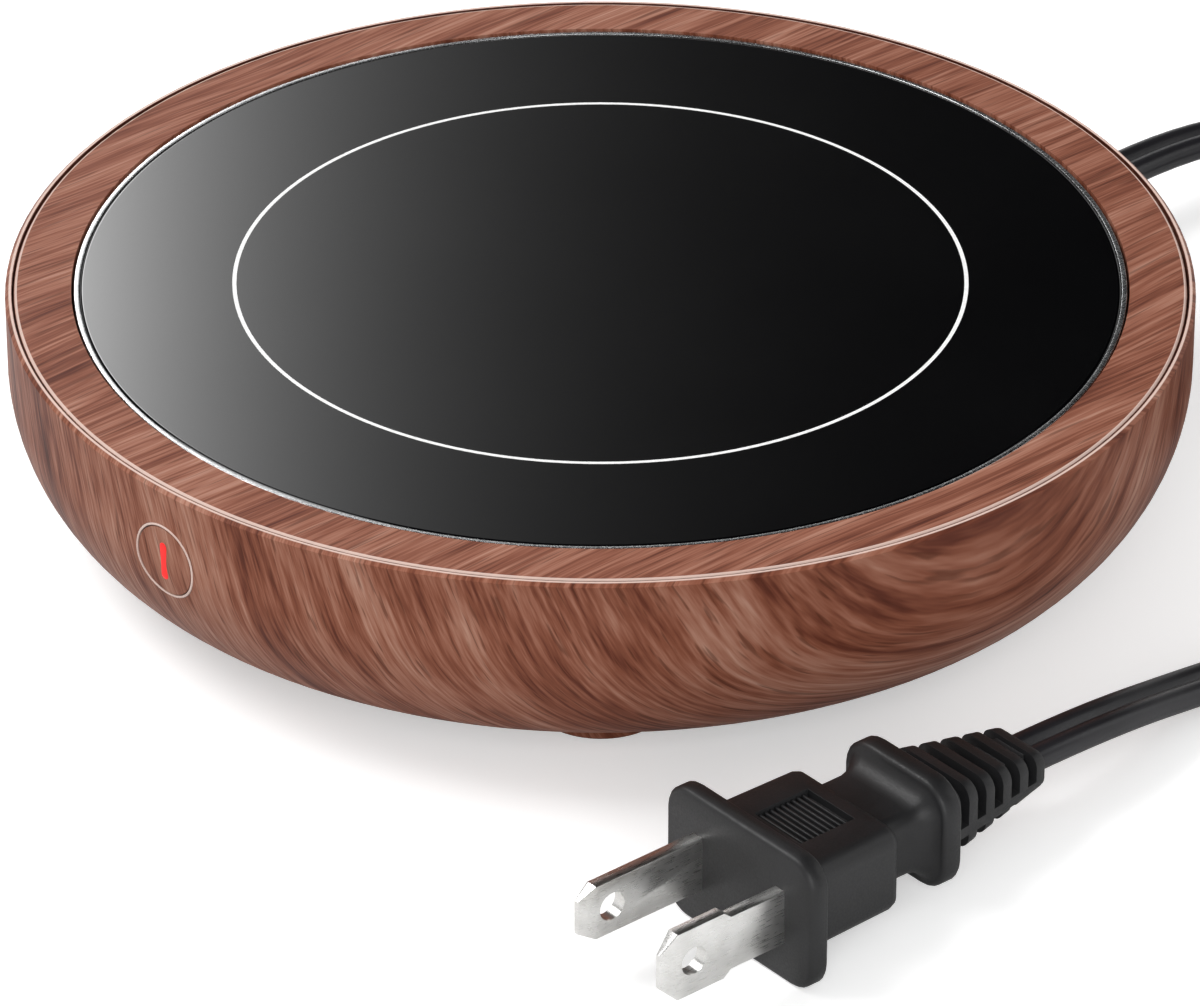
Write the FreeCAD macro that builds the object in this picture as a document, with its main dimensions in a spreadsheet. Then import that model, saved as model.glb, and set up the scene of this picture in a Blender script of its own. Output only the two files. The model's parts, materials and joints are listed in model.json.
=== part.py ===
import FreeCAD, Part
import math
import os
import re
import Sketcher
from FreeCAD import Placement, Rotation, Vector

# Electric mug warmer: a shallow round bowl housing with a wood-look ring on top, a sprung glass
# heating plate, a push button in the front wall and a flat twin mains cord with a two-pin plug.
# Frame: origin on the floor under the centre, +Z up, button towards -Y, cord leaves towards +Y.

driving = {
    # bowl housing
    "outer_radius": 65.0, "total_height": 28.0, "wall": 2.2,
    "side_depth": 8.25, "side_arc": 18.0, "base_arc": 11.5, "join_angle": 45.0,
    "rim_width": 0.75, "rim_round": 0.35,
    # top ring with its collar, shelf and screw posts
    "ring_face": 6.3, "ring_thick": 2.5, "ring_gap": 0.15, "ring_round": 0.3, "collar_wall": 1.2,
    "collar_drop": 3.1, "shelf_thick": 1.5, "shelf_width": 9.5,
    "post_inset": 5.8, "post_radius": 3.0, "post_angle": 25.0, "post_foot": 3.2,
    "notch_half": 10.0, "notch_depth": 14.0,
    # heating plate
    "plate_travel": 1.0, "pan_gap": 0.35, "pan_wall": 0.45, "pan_floor": 0.8, "pan_bevel": 0.6,
    "glass_drop": 0.25, "glass_thick": 3.0, "glass_chamfer": 0.3, "glass_gap": 0.04,
    "heater_inset": 6.2, "heater_thick": 0.6, "pad_thick": 2.0, "pad_inset": 0.2,
    "carrier_gap": 1.3, "carrier_thick": 1.2,
    "stud_inset": 3.7, "stud_radius": 1.5, "nut_height": 2.4, "nut_radius": 3.0,
    "window_length": 19.4, "window_width": 7.0, "window_place": 24.0,
    "fuse_radius": 1.8, "fuse_length": 10.5, "sensor_radius": 1.6, "sensor_height": 2.6,
    "sensor_place": 12.0,
    # guide pins, springs and their bosses
    "guide_inset": 10.2, "pin_radius": 1.5, "slide_gap": 0.35, "boss_radius": 4.8,
    "boss_height": 7.15, "stop_height": 3.65, "stop_gap": 0.1,
    "spring_radius": 2.6, "spring_wire": 0.5, "spring_turns": 4.0,
    "stop_head": 2.8, "stop_head_height": 1.6, "stop_shank": 0.85, "counterbore": 3.3,
    # feet and housing screws
    "foot_inset": 21.0, "foot_radius": 5.4, "foot_gap": 0.1, "foot_sink": 0.8,
    "foot_bevel": 0.8, "pad_radius": 4.2, "pad_height": 0.5,
    "screw_head": 2.5, "screw_head_height": 1.6, "screw_shank": 1.25, "screw_length": 9.0,
    "screw_hole": 1.5, "head_gap": 0.3, "head_seat": 1.4,
    # power button
    "button_drop": 8.7, "button_radius": 4.0, "button_gap": 0.12,
    "button_ring_wall": 0.3, "button_lip": 1.2, "button_lip_thick": 0.8,
    "button_recess": 0.4, "stem_radius": 1.4, "stem_drop": 2.3, "bar_width": 0.75, "bar_height": 4.3,
    "tact_size": 6.0, "tact_depth": 3.1, "plunger_radius": 1.6, "plunger_length": 1.4,
    "switch_board_width": 15.0, "switch_board_thick": 1.2, "board_setback": 12.8,
    "switch_board_foot": 5.75, "switch_board_gap": 0.75, "rail_width": 2.6,
    # control board and what stands on it
    "board_length": 46.0, "board_width": 38.0, "board_thick": 1.6, "standoff": 3.2,
    "standoff_radius": 2.3, "board_hole_inset": 3.0, "small_head": 1.9, "small_shank": 0.8,
    "cable_place": 4.9, "cable_width": 3.0,
    "limit_length": 12.8, "limit_width": 5.8, "limit_height": 6.5, "lever_length": 12.0,
    "lever_thick": 0.3, "lever_width": 3.6, "lever_gap": 0.3, "lever_pin": 0.45,
    # cord, strain relief and clamp
    "cord_width": 5.6, "cord_thick": 2.8, "cord_chamfer": 0.8, "exit_rise": 1.75,
    "relief_setback": 12.5, "relief_reach": 19.0, "relief_wall_width": 9.0, "relief_wall_height": 6.0,
    "relief_tip_width": 7.2, "relief_tip_height": 4.4, "relief_flange": 2.0, "relief_flange_thick": 1.6,
    "relief_slot_width": 1.2, "relief_gap": 0.1,
    "clamp_setback": 3.5, "clamp_half": 8.5, "clamp_width": 6.0, "clamp_thick": 2.4,
    "lead_radius": 0.8, "lead_spread": 1.5,
    # put-away coil
    "coil_x": 62.0, "coil_y": 101.3, "coil_radius": 38.5, "coil_pitch": 6.3, "layer_step": 3.4,
    "coil_level": 2.15, "tie_thick": 0.55, "tie_width": 5.0, "tie_gap": 0.15,
    # plug
    "plug_x": 73.7, "plug_y": -54.2, "plug_angle": 84.8,
    "flange_width": 22.7, "flange_height": 15.4, "flange_thick": 2.4, "flange_round": 3.2,
    "grip_width": 17.1, "grip_height": 10.0, "grip_end": 14.6, "grip_round": 1.8,
    "neck_width": 11.4, "neck_height": 7.6, "rear_start": 21.0, "rear_thick": 2.6,
    "rear_width": 15.6, "rear_height": 12.7, "rear_round": 3.6, "neck_round": 1.6,
    "sleeve_end": 38.6, "sleeve_width": 12.2, "sleeve_height": 8.6,
    "sleeve_tip_width": 7.9, "sleeve_tip_height": 4.2,
    "sleeve_slot_width": 1.35, "sleeve_slot_pitch": 2.7,
    "recess_start": 5.2, "recess_length": 7.2, "recess_width": 7.2, "recess_depth": 0.9,
    "rib_count": 9.0, "rib_width": 0.35, "rib_height": 0.5,
    "blade_spacing": 12.7, "blade_height": 6.35, "blade_wide": 7.9, "blade_thick": 1.5,
    "blade_length": 16.0, "blade_root": 6.0, "blade_hole": 1.6, "blade_hole_place": 11.9,
    "blade_bevel": 2.0, "blade_step": 9.0,
}

doc = FreeCAD.newDocument("mug_warmer")
sizes = doc.addObject("Spreadsheet::Sheet", "sizes")
for row, (alias, number) in enumerate(driving.items(), start=1):
    sizes.set("A%d" % row, alias)
    sizes.set("B%d" % row, str(number))
    sizes.setAlias("B%d" % row, alias)
doc.recompute()


def bound(text):
    """The expression with each size read from the sheet, and each derived size spelled out."""
    def read(word):
        name = word.group()
        if name in driving:
            return "sizes." + name
        return bound(derived[name]) if name in derived else name
    return re.sub(r"[a-z_]+", read, str(text))


def value(text):
    return float(sizes.evalExpression(bound(text)))


def bind(thing, prop, text):
    thing.setExpression(prop, bound(text))


nodes = {}


def keep(thing, label):
    """Makes an object a sub-part, exported under its label."""
    thing.Label = label
    nodes[label] = thing
    return thing


# Heights and radii that follow from the driving sizes
side_low = "(total_height - side_depth)"
side_cx = "(outer_radius - side_arc)"
base_cx = "(%s + (side_arc - base_arc) * cos(join_angle))" % side_cx
base_cz = "(%s - (side_arc - base_arc) * sin(join_angle))" % side_low
base_z = "(%s - base_arc)" % base_cz
floor_z = "(%s + wall)" % base_z
rim_inner = "(outer_radius - rim_width)"
ring_outer = "(%s - ring_gap)" % rim_inner
ring_inner = "(%s - ring_face)" % ring_outer
ledge_z = "(total_height - ring_thick)"
shelf_top = "(%s - collar_drop)" % ledge_z
shelf_z = "(%s - shelf_thick)" % shelf_top
shelf_inner = "(%s + collar_wall - shelf_width)" % ring_inner
post_circle = "(%s - post_inset)" % ring_inner
post_z = "(%s + post_foot)" % floor_z
pan_radius = "(%s - pan_gap)" % ring_inner
glass_radius = "(%s - pan_wall - glass_gap)" % pan_radius
glass_top = "(total_height - glass_drop)"
glass_z = "(%s - glass_thick)" % glass_top
pan_z = "(%s - pan_floor)" % glass_z
heater_z = "(%s - heater_thick)" % pan_z
pad_z = "(%s - pad_thick)" % heater_z
carrier_z = "(%s - carrier_thick)" % pad_z
carrier_radius = "(%s - carrier_gap)" % shelf_inner
heater_radius = "(%s - heater_inset)" % carrier_radius
stud_circle = "(%s - stud_inset)" % carrier_radius
guide_circle = "(%s - guide_inset)" % carrier_radius
spring_seat = "(%s + boss_height)" % floor_z
stop_level = "(%s + stop_height)" % floor_z
pin_end = "(%s - stop_gap)" % stop_level
foot_circle = "(outer_radius - foot_inset)"
board_z = "(%s + standoff)" % floor_z
board_top = "(%s + board_thick)" % board_z
board_hole_x = "(board_length / 2 - board_hole_inset)"
board_hole_y = "(board_width / 2 - board_hole_inset)"
wall_in = "(outer_radius - wall)"
recess_y = "(%s - button_recess)" % wall_in
button_level = "(total_height - button_drop)"
stem_level = "(%s - stem_drop)" % button_level
switch_board_face = "(outer_radius - board_setback)"
switch_board_low = "(%s + switch_board_foot)" % floor_z
switch_board_top = "(%s - plate_travel - switch_board_gap)" % pan_z
exit_level = "(%s + exit_rise)" % floor_z
relief_start = "(outer_radius - relief_setback)"
relief_end = "(outer_radius + relief_reach)"
clamp_place = "(%s - clamp_setback)" % relief_start
plug_level = "(flange_height / 2)"
derived = {name: text for name, text in globals().items()
           if isinstance(text, str) and text.startswith("(") and name not in driving}


def plane(body, role):
    return next(item for item in body.Origin.OriginFeatures if item.Role == role)


def new_sketch(body, role, name, lift="0"):
    sketch = body.newObject("Sketcher::SketchObject", name)
    sketch.AttachmentSupport = [(plane(body, role), "")]
    sketch.MapMode = "FlatFace"
    sketch.AttachmentOffset = Placement(Vector(0, 0, value(lift)), Rotation())
    bind(sketch, "AttachmentOffset.Base.z", lift)
    return sketch


def pin_point(sketch, geo, pos, x, y):
    """Ties a sketch point to the origin by its two bound distances."""
    for kind, text, axis in (("DistanceX", x, -2), ("DistanceY", y, -1)):
        if abs(value(text)) < 1e-9:
            sketch.addConstraint(Sketcher.Constraint("PointOnObject", geo, pos, axis))
            continue
        number = sketch.addConstraint(Sketcher.Constraint(kind, -1, 1, geo, pos, value(text)))
        bind(sketch, "Constraints[%d]" % number, text)


def outline(sketch, points, arcs=None):
    """A closed outline of lines; arcs maps a segment's index to its centre and turning side."""
    arcs = arcs or {}
    spots = [Vector(value(x), value(y), 0) for x, y in points]
    first = sketch.GeometryCount
    count = len(points)
    ends = []
    for i, start in enumerate(spots):
        end = spots[(i + 1) % count]
        if i in arcs:
            cx, cy, ccw = arcs[i]
            centre = Vector(value(cx), value(cy), 0)
            a = math.atan2(start.y - centre.y, start.x - centre.x)
            b = math.atan2(end.y - centre.y, end.x - centre.x)
            circle = Part.Circle(centre, Vector(0, 0, 1), start.distanceToPoint(centre))
            arc = Part.ArcOfCircle(circle, a, b) if ccw else Part.ArcOfCircle(circle, b, a)
            geo = sketch.addGeometry(arc, False)
            ends.append((geo, 1, 2) if ccw else (geo, 2, 1))
        else:
            geo = sketch.addGeometry(Part.LineSegment(start, end), False)
            ends.append((geo, 1, 2))
    for i in range(count):
        geo, _, stop = ends[i]
        after, begin, _ = ends[(i + 1) % count]
        sketch.addConstraint(Sketcher.Constraint("Coincident", geo, stop, after, begin))
    for i, (x, y) in enumerate(points):
        pin_point(sketch, ends[i][0], ends[i][1], x, y)
    for i, (cx, cy, ccw) in arcs.items():
        wide = abs(spots[i].x - spots[(i + 1) % count].x)
        tall = abs(spots[i].y - spots[(i + 1) % count].y)
        kind, text = ("DistanceX", cx) if tall >= wide else ("DistanceY", cy)
        number = sketch.addConstraint(
            Sketcher.Constraint(kind, -1, 1, first + i, 3, value(text)))
        bind(sketch, "Constraints[%d]" % number, text)
    return sketch


def box_outline(sketch, x0, y0, x1, y1):
    return outline(sketch, [(x0, y0), (x1, y0), (x1, y1), (x0, y1)])


def circle(sketch, x, y, radius):
    geo = sketch.addGeometry(
        Part.Circle(Vector(value(x), value(y), 0), Vector(0, 0, 1), value(radius)), False)
    pin_point(sketch, geo, 3, x, y)
    number = sketch.addConstraint(Sketcher.Constraint("Radius", geo, value(radius)))
    bind(sketch, "Constraints[%d]" % number, radius)
    return sketch


def polar(circle_radius, angle):
    """A place on a circle round the centre, as bound coordinates."""
    return "(%s * cos(%s))" % (circle_radius, angle), "(%s * sin(%s))" % (circle_radius, angle)


def feature(body, kind, name, sketch, length=None, reverse=False, both=False):
    item = body.newObject("PartDesign::" + kind, name)
    item.Profile = sketch
    if length is not None:
        item.Length = value(length)
        bind(item, "Length", length)
    item.Reversed = reverse
    if both:
        item.Midplane = True
    sketch.Visibility = False
    return item


def spin(body, kind, name, sketch):
    """A full turn of the sketch about the body's upright axis."""
    item = body.newObject("PartDesign::" + kind, name)
    item.Profile = sketch
    item.ReferenceAxis = (sketch, ["V_Axis"])
    item.Angle = 360
    return item


def new_body(label):
    body = doc.addObject("PartDesign::Body", label)
    return keep(body, label)


def solid(kind, at=("0", "0", "0"), turn=None, **given):
    """A Part primitive with bound sizes and place; turn is (axis, degrees)."""
    item = doc.addObject("Part::" + kind, kind.lower())
    for prop, text in given.items():
        setattr(item, prop, value(text))
        bind(item, prop, text)
    rotation = Rotation(Vector(*turn[0]), turn[1]) if turn else Rotation()
    item.Placement = Placement(Vector(*[value(text) for text in at]), rotation)
    for axis, text in zip("xyz", at):
        bind(item, "Placement.Base." + axis, text)
    return item


def centred_box(x, y, z, length, width, height):
    """A box centred on x and y that stands on z."""
    return solid("Box", ("%s - (%s) / 2" % (x, length), "%s - (%s) / 2" % (y, width), z),
                 Length=length, Width=width, Height=height)


def rod(x, y, z, radius, height):
    return solid("Cylinder", (x, y, z), Radius=radius, Height=height)


def rod_along_y(x, y, z, radius, length):
    return solid("Cylinder", (x, y, z), turn=((1, 0, 0), -90), Radius=radius, Height=length)


def cut(base, *tools):
    item = doc.addObject("Part::Cut", "cut")
    item.Base = base
    item.Tool = tools[0] if len(tools) == 1 else fuse(*tools)
    return item


def fuse(*parts):
    item = doc.addObject("Part::MultiFuse", "fusion")
    item.Shapes = list(parts)
    return item


def group(*parts):
    item = doc.addObject("Part::Compound", "group")
    item.Links = list(parts)
    return item


def rounded(base, radius, chosen):
    doc.recompute()
    item = doc.addObject("Part::Fillet", "rounded")
    item.Base = base
    item.Edges = [(i + 1, radius, radius) for i, edge in enumerate(base.Shape.Edges) if chosen(edge)]
    return item


def runs_along(edge, direction):
    if not isinstance(edge.Curve, Part.Line):
        return False
    return edge.Curve.Direction.cross(direction).Length < 1e-6


east, north, up = Vector(1, 0, 0), Vector(0, 1, 0), Vector(0, 0, 1)
quarter_angles = (0, 90, 180, 270)
foot_angles = (45, 135, 225, 315)
post_angles = ("post_angle", "(180 - post_angle)", "(180 + post_angle)", "(360 - post_angle)")


def wall_outline(start_radius, start_level, inset):
    """Points and arcs down the bowl's side, from its upright part to the flat bottom."""
    side = "(side_arc - %s)" % inset
    base = "(base_arc - %s)" % inset
    points = [
        (start_radius, start_level),
        ("(outer_radius - %s)" % inset, side_low),
        ("(%s + %s * cos(join_angle))" % (side_cx, side), "(%s - %s * sin(join_angle))" % (side_low, side)),
        (base_cx, "(%s - %s)" % (base_cz, base)),
    ]
    return points


def bowl_housing():
    body = new_body("bowl_housing")
    shell = new_sketch(body, "XZ_Plane", "shell_profile")
    points = [(rim_inner, "total_height"), ("(outer_radius - rim_round)", "total_height")]
    points += wall_outline("outer_radius", "(total_height - rim_round)", "0")
    points += [("0", base_z), ("0", floor_z)]
    inner = wall_outline(wall_in, ledge_z, "wall")
    points += inner[::-1]
    points += [(rim_inner, ledge_z)]
    arcs = {3: (side_cx, side_low, False), 4: (base_cx, base_cz, False)}
    outline(shell, points, arcs)
    spin(body, "Revolution", "shell", shell)
    # posts and bosses rise from within the floor's thickness
    root_z = "(%s + wall / 2)" % base_z
    bosses = new_sketch(body, "XY_Plane", "screw_bosses", root_z)
    for angle in post_angles:
        circle(bosses, *polar("post_circle", angle), "(post_radius + 0.8)")
    feature(body, "Pad", "screw_boss_pad", bosses, "(%s - %s)" % (post_z, root_z))
    guides = new_sketch(body, "XY_Plane", "guide_bosses", root_z)
    for angle in quarter_angles:
        circle(guides, *polar("guide_circle", angle), "boss_radius")
    feature(body, "Pad", "guide_boss_pad", guides, "(spring_seat - %s)" % root_z)
    stands = new_sketch(body, "XY_Plane", "board_standoffs", root_z)
    for x, y in board_corners():
        circle(stands, x, y, "standoff_radius")
    feature(body, "Pad", "standoff_pad", stands, "(%s - %s)" % (board_z, root_z))
    rails = new_sketch(body, "XY_Plane", "switch_board_rails", root_z)
    for side in (1, -1):
        inner_x = "(%d * (switch_board_width / 2 - 0.9))" % side
        outer_x = "(%d * (switch_board_width / 2 + rail_width - 0.9))" % side
        low_x, high_x = (inner_x, outer_x) if side > 0 else (outer_x, inner_x)
        box_outline(rails, low_x, "(-switch_board_face - 1.3)", high_x,
                    "(switch_board_thick + 1.5 - switch_board_face)")
    feature(body, "Pad", "rail_pad", rails, "(switch_board_top - 1.5 - %s)" % root_z)
    clamps = new_sketch(body, "XY_Plane", "clamp_posts", root_z)
    for side in (1, -1):
        circle(clamps, "(%d * clamp_half)" % side, "clamp_place", "standoff_radius")
    feature(body, "Pad", "clamp_post_pad", clamps,
            "(exit_level + 0.4 - %s)" % root_z)
    # holes from below
    holes = new_sketch(body, "XY_Plane", "through_holes")
    for angle in post_angles:
        circle(holes, *polar("post_circle", angle), "screw_hole")
    for angle in quarter_angles:
        circle(holes, *polar("guide_circle", angle), "(pin_radius + slide_gap)")
    feature(body, "Pocket", "through_pocket", holes, "(spring_seat + 1)", reverse=True)
    heads = new_sketch(body, "XY_Plane", "head_holes")
    for angle in post_angles:
        circle(heads, *polar("post_circle", angle), "(screw_head + head_gap)")
    feature(body, "Pocket", "head_pocket", heads, "(post_z - head_seat)", reverse=True)
    stops = new_sketch(body, "XY_Plane", "stop_holes")
    for angle in quarter_angles:
        circle(stops, *polar("guide_circle", angle), "counterbore")
    feature(body, "Pocket", "stop_pocket", stops, "stop_level", reverse=True)
    soles = new_sketch(body, "XY_Plane", "foot_seats")
    for angle in foot_angles:
        circle(soles, *polar("foot_circle", angle), "(foot_radius + foot_gap)")
    feature(body, "Pocket", "foot_pocket", soles, "(%s + foot_sink)" % base_z, reverse=True)
    pilots = new_sketch(body, "XY_Plane", "pilot_holes", "(%s + 0.8)" % floor_z)
    for x, y in board_corners():
        circle(pilots, x, y, "(small_shank + 0.05)")
    for side in (1, -1):
        circle(pilots, "(%d * clamp_half)" % side, "clamp_place", "(small_shank + 0.05)")
    feature(body, "Pocket", "pilot_pocket", pilots, "6", reverse=True)
    groove = new_sketch(body, "XY_Plane", "board_groove", "(switch_board_low - 0.1)")
    box_outline(groove, "(-switch_board_width / 2 - 0.15)", "(-switch_board_face - 0.15)",
                "(switch_board_width / 2 + 0.15)", "(switch_board_thick + 0.15 - switch_board_face)")
    feature(body, "Pocket", "groove_pocket", groove, "(switch_board_top - switch_board_low + 2)", reverse=True)
    # button hole and its flat spot inside the wall
    front = new_sketch(body, "XZ_Plane", "button_hole", "(%s - 6)" % wall_in)
    circle(front, "0", "button_level", "(button_radius + button_gap + button_ring_wall)")
    feature(body, "Pocket", "button_pocket", front, "12", reverse=True)
    spot = new_sketch(body, "XZ_Plane", "button_spot", "(%s - 6)" % wall_in)
    circle(spot, "0", "button_level", "(button_radius + button_lip + 0.4)")
    feature(body, "Pocket", "button_spot_pocket", spot, "(6 - button_recess + 0.1)", reverse=True)
    # cord opening at the back
    slot = new_sketch(body, "XZ_Plane", "cord_opening", "(relief_gap - relief_start)")
    box_outline(slot, "(-relief_wall_width / 2 - relief_gap)",
                "(exit_level - relief_wall_height / 2 - relief_gap)",
                "(relief_wall_width / 2 + relief_gap)",
                "(exit_level + relief_wall_height / 2 + relief_gap)")
    feature(body, "Pocket", "cord_pocket", slot, "(outer_radius - relief_start + 2)")
    return body


def top_ring():
    body = new_body("top_ring")
    profile = new_sketch(body, "XZ_Plane", "ring_profile")
    points = [
        (ring_inner, "total_height"),
        ("(%s - ring_round)" % ring_outer, "total_height"),
        (ring_outer, "(total_height - ring_round)"),
        (ring_outer, ledge_z),
        ("(%s + collar_wall)" % ring_inner, ledge_z),
        ("(%s + collar_wall)" % ring_inner, shelf_z),
        ("shelf_inner", shelf_z),
        ("shelf_inner", shelf_top),
        (ring_inner, shelf_top),
    ]
    outline(profile, points)
    spin(body, "Revolution", "ring", profile)
    posts = new_sketch(body, "XY_Plane", "posts", post_z)
    for angle in post_angles:
        circle(posts, *polar("post_circle", angle), "post_radius")
    feature(body, "Pad", "post_pad", posts, "(%s - %s + 0.5)" % (shelf_z, post_z))
    pilots = new_sketch(body, "XY_Plane", "post_pilots", post_z)
    for angle in post_angles:
        circle(pilots, *polar("post_circle", angle), "(screw_shank + 0.05)")
    feature(body, "Pocket", "pilot_pocket", pilots, "screw_length", reverse=True)
    notch = new_sketch(body, "XY_Plane", "button_notch", "(%s - 1)" % shelf_z)
    box_outline(notch, "-notch_half", "(-%s - collar_wall - 1)" % ring_inner, "notch_half",
                "(notch_depth - %s - collar_wall - 1)" % ring_inner)
    feature(body, "Pocket", "notch_pocket", notch, "(%s - %s + 1)" % (ledge_z, shelf_z), reverse=True)
    return body


def feet():
    parts = []
    pads = []
    for angle in foot_angles:
        x, y = polar("foot_circle", angle)
        puck = rod(x, y, "pad_height", "foot_radius", "(%s + foot_sink - foot_gap - pad_height)" % base_z)
        doc.recompute()
        low = puck.Shape.BoundBox.ZMin
        foot = doc.addObject("Part::Chamfer", "foot")
        foot.Base = puck
        foot.Edges = [(i + 1, value("foot_bevel"), value("foot_bevel"))
                      for i, edge in enumerate(puck.Shape.Edges) if edge.BoundBox.ZMax < low + 1e-6]
        parts.append(foot)
        pads.append(rod(x, y, "0", "pad_radius", "pad_height"))
    keep(group(*parts), "feet")
    keep(group(*pads), "foot_pads")


def facet_rod(x, y, z, radius, height, sides):
    """A small round piece drawn with few sides."""
    item = solid("Prism", (x, y, z), Circumradius=radius, Height=height)
    item.Polygon = sides
    return item


def screw(x, y, seat_z, head_radius, head_height, shank_radius, shank_length, upward):
    """A plain pan head screw on its seat, driven upward or down."""
    if upward:
        head = facet_rod(x, y, "(%s - %s)" % (seat_z, head_height), head_radius, head_height, 12)
        shank = facet_rod(x, y, seat_z, shank_radius, shank_length, 6)
    else:
        head = facet_rod(x, y, seat_z, head_radius, head_height, 12)
        shank = facet_rod(x, y, "(%s - %s)" % (seat_z, shank_length), shank_radius, shank_length, 6)
    return fuse(head, shank)


def board_corners():
    return [("(%d * board_hole_x)" % sx, "(%d * board_hole_y)" % sy) for sx in (1, -1) for sy in (1, -1)]


def fasteners():
    keep(group(*[screw(*polar("post_circle", angle), "(post_z - head_seat)", "screw_head",
                       "screw_head_height", "screw_shank", "screw_length", True)
                 for angle in post_angles]), "housing_screws")
    keep(group(*[screw(*polar("guide_circle", angle), pin_end, "stop_head", "stop_head_height",
                       "stop_shank", "6", True) for angle in quarter_angles]), "plate_screws")
    keep(group(*[screw(x, y, board_top, "small_head", "1.2", "small_shank", "(board_thick + 2.2)", False)
                 for x, y in board_corners()]), "board_screws")


def heating_plate():
    disc = rod("0", "0", glass_z, glass_radius, "glass_thick")
    doc.recompute()
    glass = doc.addObject("Part::Chamfer", "glass")
    glass.Base = disc
    top = value(glass_top)
    edge_size = value("glass_chamfer")
    glass.Edges = [(i + 1, edge_size, edge_size) for i, edge in enumerate(disc.Shape.Edges)
                   if edge.BoundBox.ZMin > top - 1e-6]
    keep(glass, "glass_plate")

    pan = new_body("plate_pan")
    profile = new_sketch(pan, "XZ_Plane", "pan_profile")
    outline(profile, [
        ("0", pan_z), ("(pan_radius - pan_bevel)", pan_z), ("pan_radius", "(%s + pan_bevel)" % pan_z),
        ("pan_radius", glass_top), ("(pan_radius - pan_wall)", glass_top),
        ("(pan_radius - pan_wall)", glass_z), ("0", glass_z)])
    spin(pan, "Revolution", "pan", profile)
    studs = new_sketch(pan, "XY_Plane", "studs", "(%s - nut_height - 0.8)" % carrier_z)
    for angle in foot_angles:
        circle(studs, *polar("stud_circle", angle), "stud_radius")
    feature(pan, "Pad", "stud_pad", studs, "(%s - %s + nut_height + 0.9)" % (pan_z, carrier_z))

    nuts = []
    for angle in foot_angles:
        x, y = polar("stud_circle", angle)
        hexagon = solid("Prism", (x, y, "(%s - nut_height)" % carrier_z), Circumradius="nut_radius",
                        Height="nut_height")
        nuts.append(cut(hexagon, rod(x, y, "(%s - nut_height - 1)" % carrier_z, "(stud_radius + 0.05)",
                                     "(nut_height + 2)")))
    keep(group(*nuts), "carrier_nuts")

    def holes(z, height):
        """What passes through the insulation and the carrier: studs, thermal fuse and sensor."""
        tools = [rod(*polar("stud_circle", angle), z, "(stud_radius + 0.2)", height)
                 for angle in foot_angles]
        tools.append(centred_box("0", "window_place", z, "window_length", "window_width", height))
        tools.append(rod("0", "(-sensor_place)", z, "(sensor_radius + 0.5)", height))
        return tools

    element = rod("0", "0", heater_z, "heater_radius", "heater_thick")
    eyelet = rod("0", "0", "(%s - 1)" % heater_z, "3", "(heater_thick + 2)")
    keep(cut(element, eyelet), "heater_disc")
    felt = rod("0", "0", pad_z, "(carrier_radius - pad_inset)", "pad_thick")
    keep(cut(felt, *holes("(%s - 1)" % pad_z, "(pad_thick + 2)")), "insulation_pad")

    carrier = new_body("carrier_plate")
    blank = new_sketch(carrier, "XY_Plane", "carrier_blank", carrier_z)
    circle(blank, "0", "0", "carrier_radius")
    feature(carrier, "Pad", "carrier_pad", blank, "carrier_thick")
    windows = new_sketch(carrier, "XY_Plane", "carrier_windows", carrier_z)
    for angle in foot_angles:
        circle(windows, *polar("stud_circle", angle), "(stud_radius + 0.2)")
    box_outline(windows, "(-window_length / 2)", "(window_place - window_width / 2)",
                "(window_length / 2)", "(window_place + window_width / 2)")
    circle(windows, "0", "(-sensor_place)", "(sensor_radius + 0.5)")
    feature(carrier, "Pocket", "window_pocket", windows, "(carrier_thick + 1)", reverse=True)
    pins = new_sketch(carrier, "XY_Plane", "guide_pins", pin_end)
    for angle in quarter_angles:
        circle(pins, *polar("guide_circle", angle), "pin_radius")
    feature(carrier, "Pad", "pin_pad", pins, "(%s - %s + 0.2)" % (carrier_z, pin_end))
    threads = new_sketch(carrier, "XY_Plane", "pin_threads", pin_end)
    for angle in quarter_angles:
        circle(threads, *polar("guide_circle", angle), "(stop_shank + 0.05)")
    feature(carrier, "Pocket", "thread_pocket", threads, "6.2", reverse=True)

    cartridge = solid("Cylinder", ("(-fuse_length / 2)", "window_place", "(%s - fuse_radius)" % heater_z),
                      turn=((0, 1, 0), 90), Radius="fuse_radius", Height="fuse_length")
    caps = [solid("Cylinder", ("%s" % x, "window_place", "(%s - fuse_radius)" % heater_z),
                  turn=((0, 1, 0), 90), Radius="(fuse_radius * 0.55)", Height="1.6")
            for x in ("(-fuse_length / 2 - 1.5)", "(fuse_length / 2 - 0.1)")]
    keep(fuse(cartridge, *caps), "thermal_fuse")
    bead = rod("0", "(-sensor_place)", "(%s - sensor_height)" % heater_z, "sensor_radius",
               "sensor_height")
    stalk = rod("0", "(-sensor_place)", "(%s - sensor_height - 1.4)" % heater_z, "0.6", "1.5")
    keep(fuse(bead, stalk), "heat_sensor")


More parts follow.
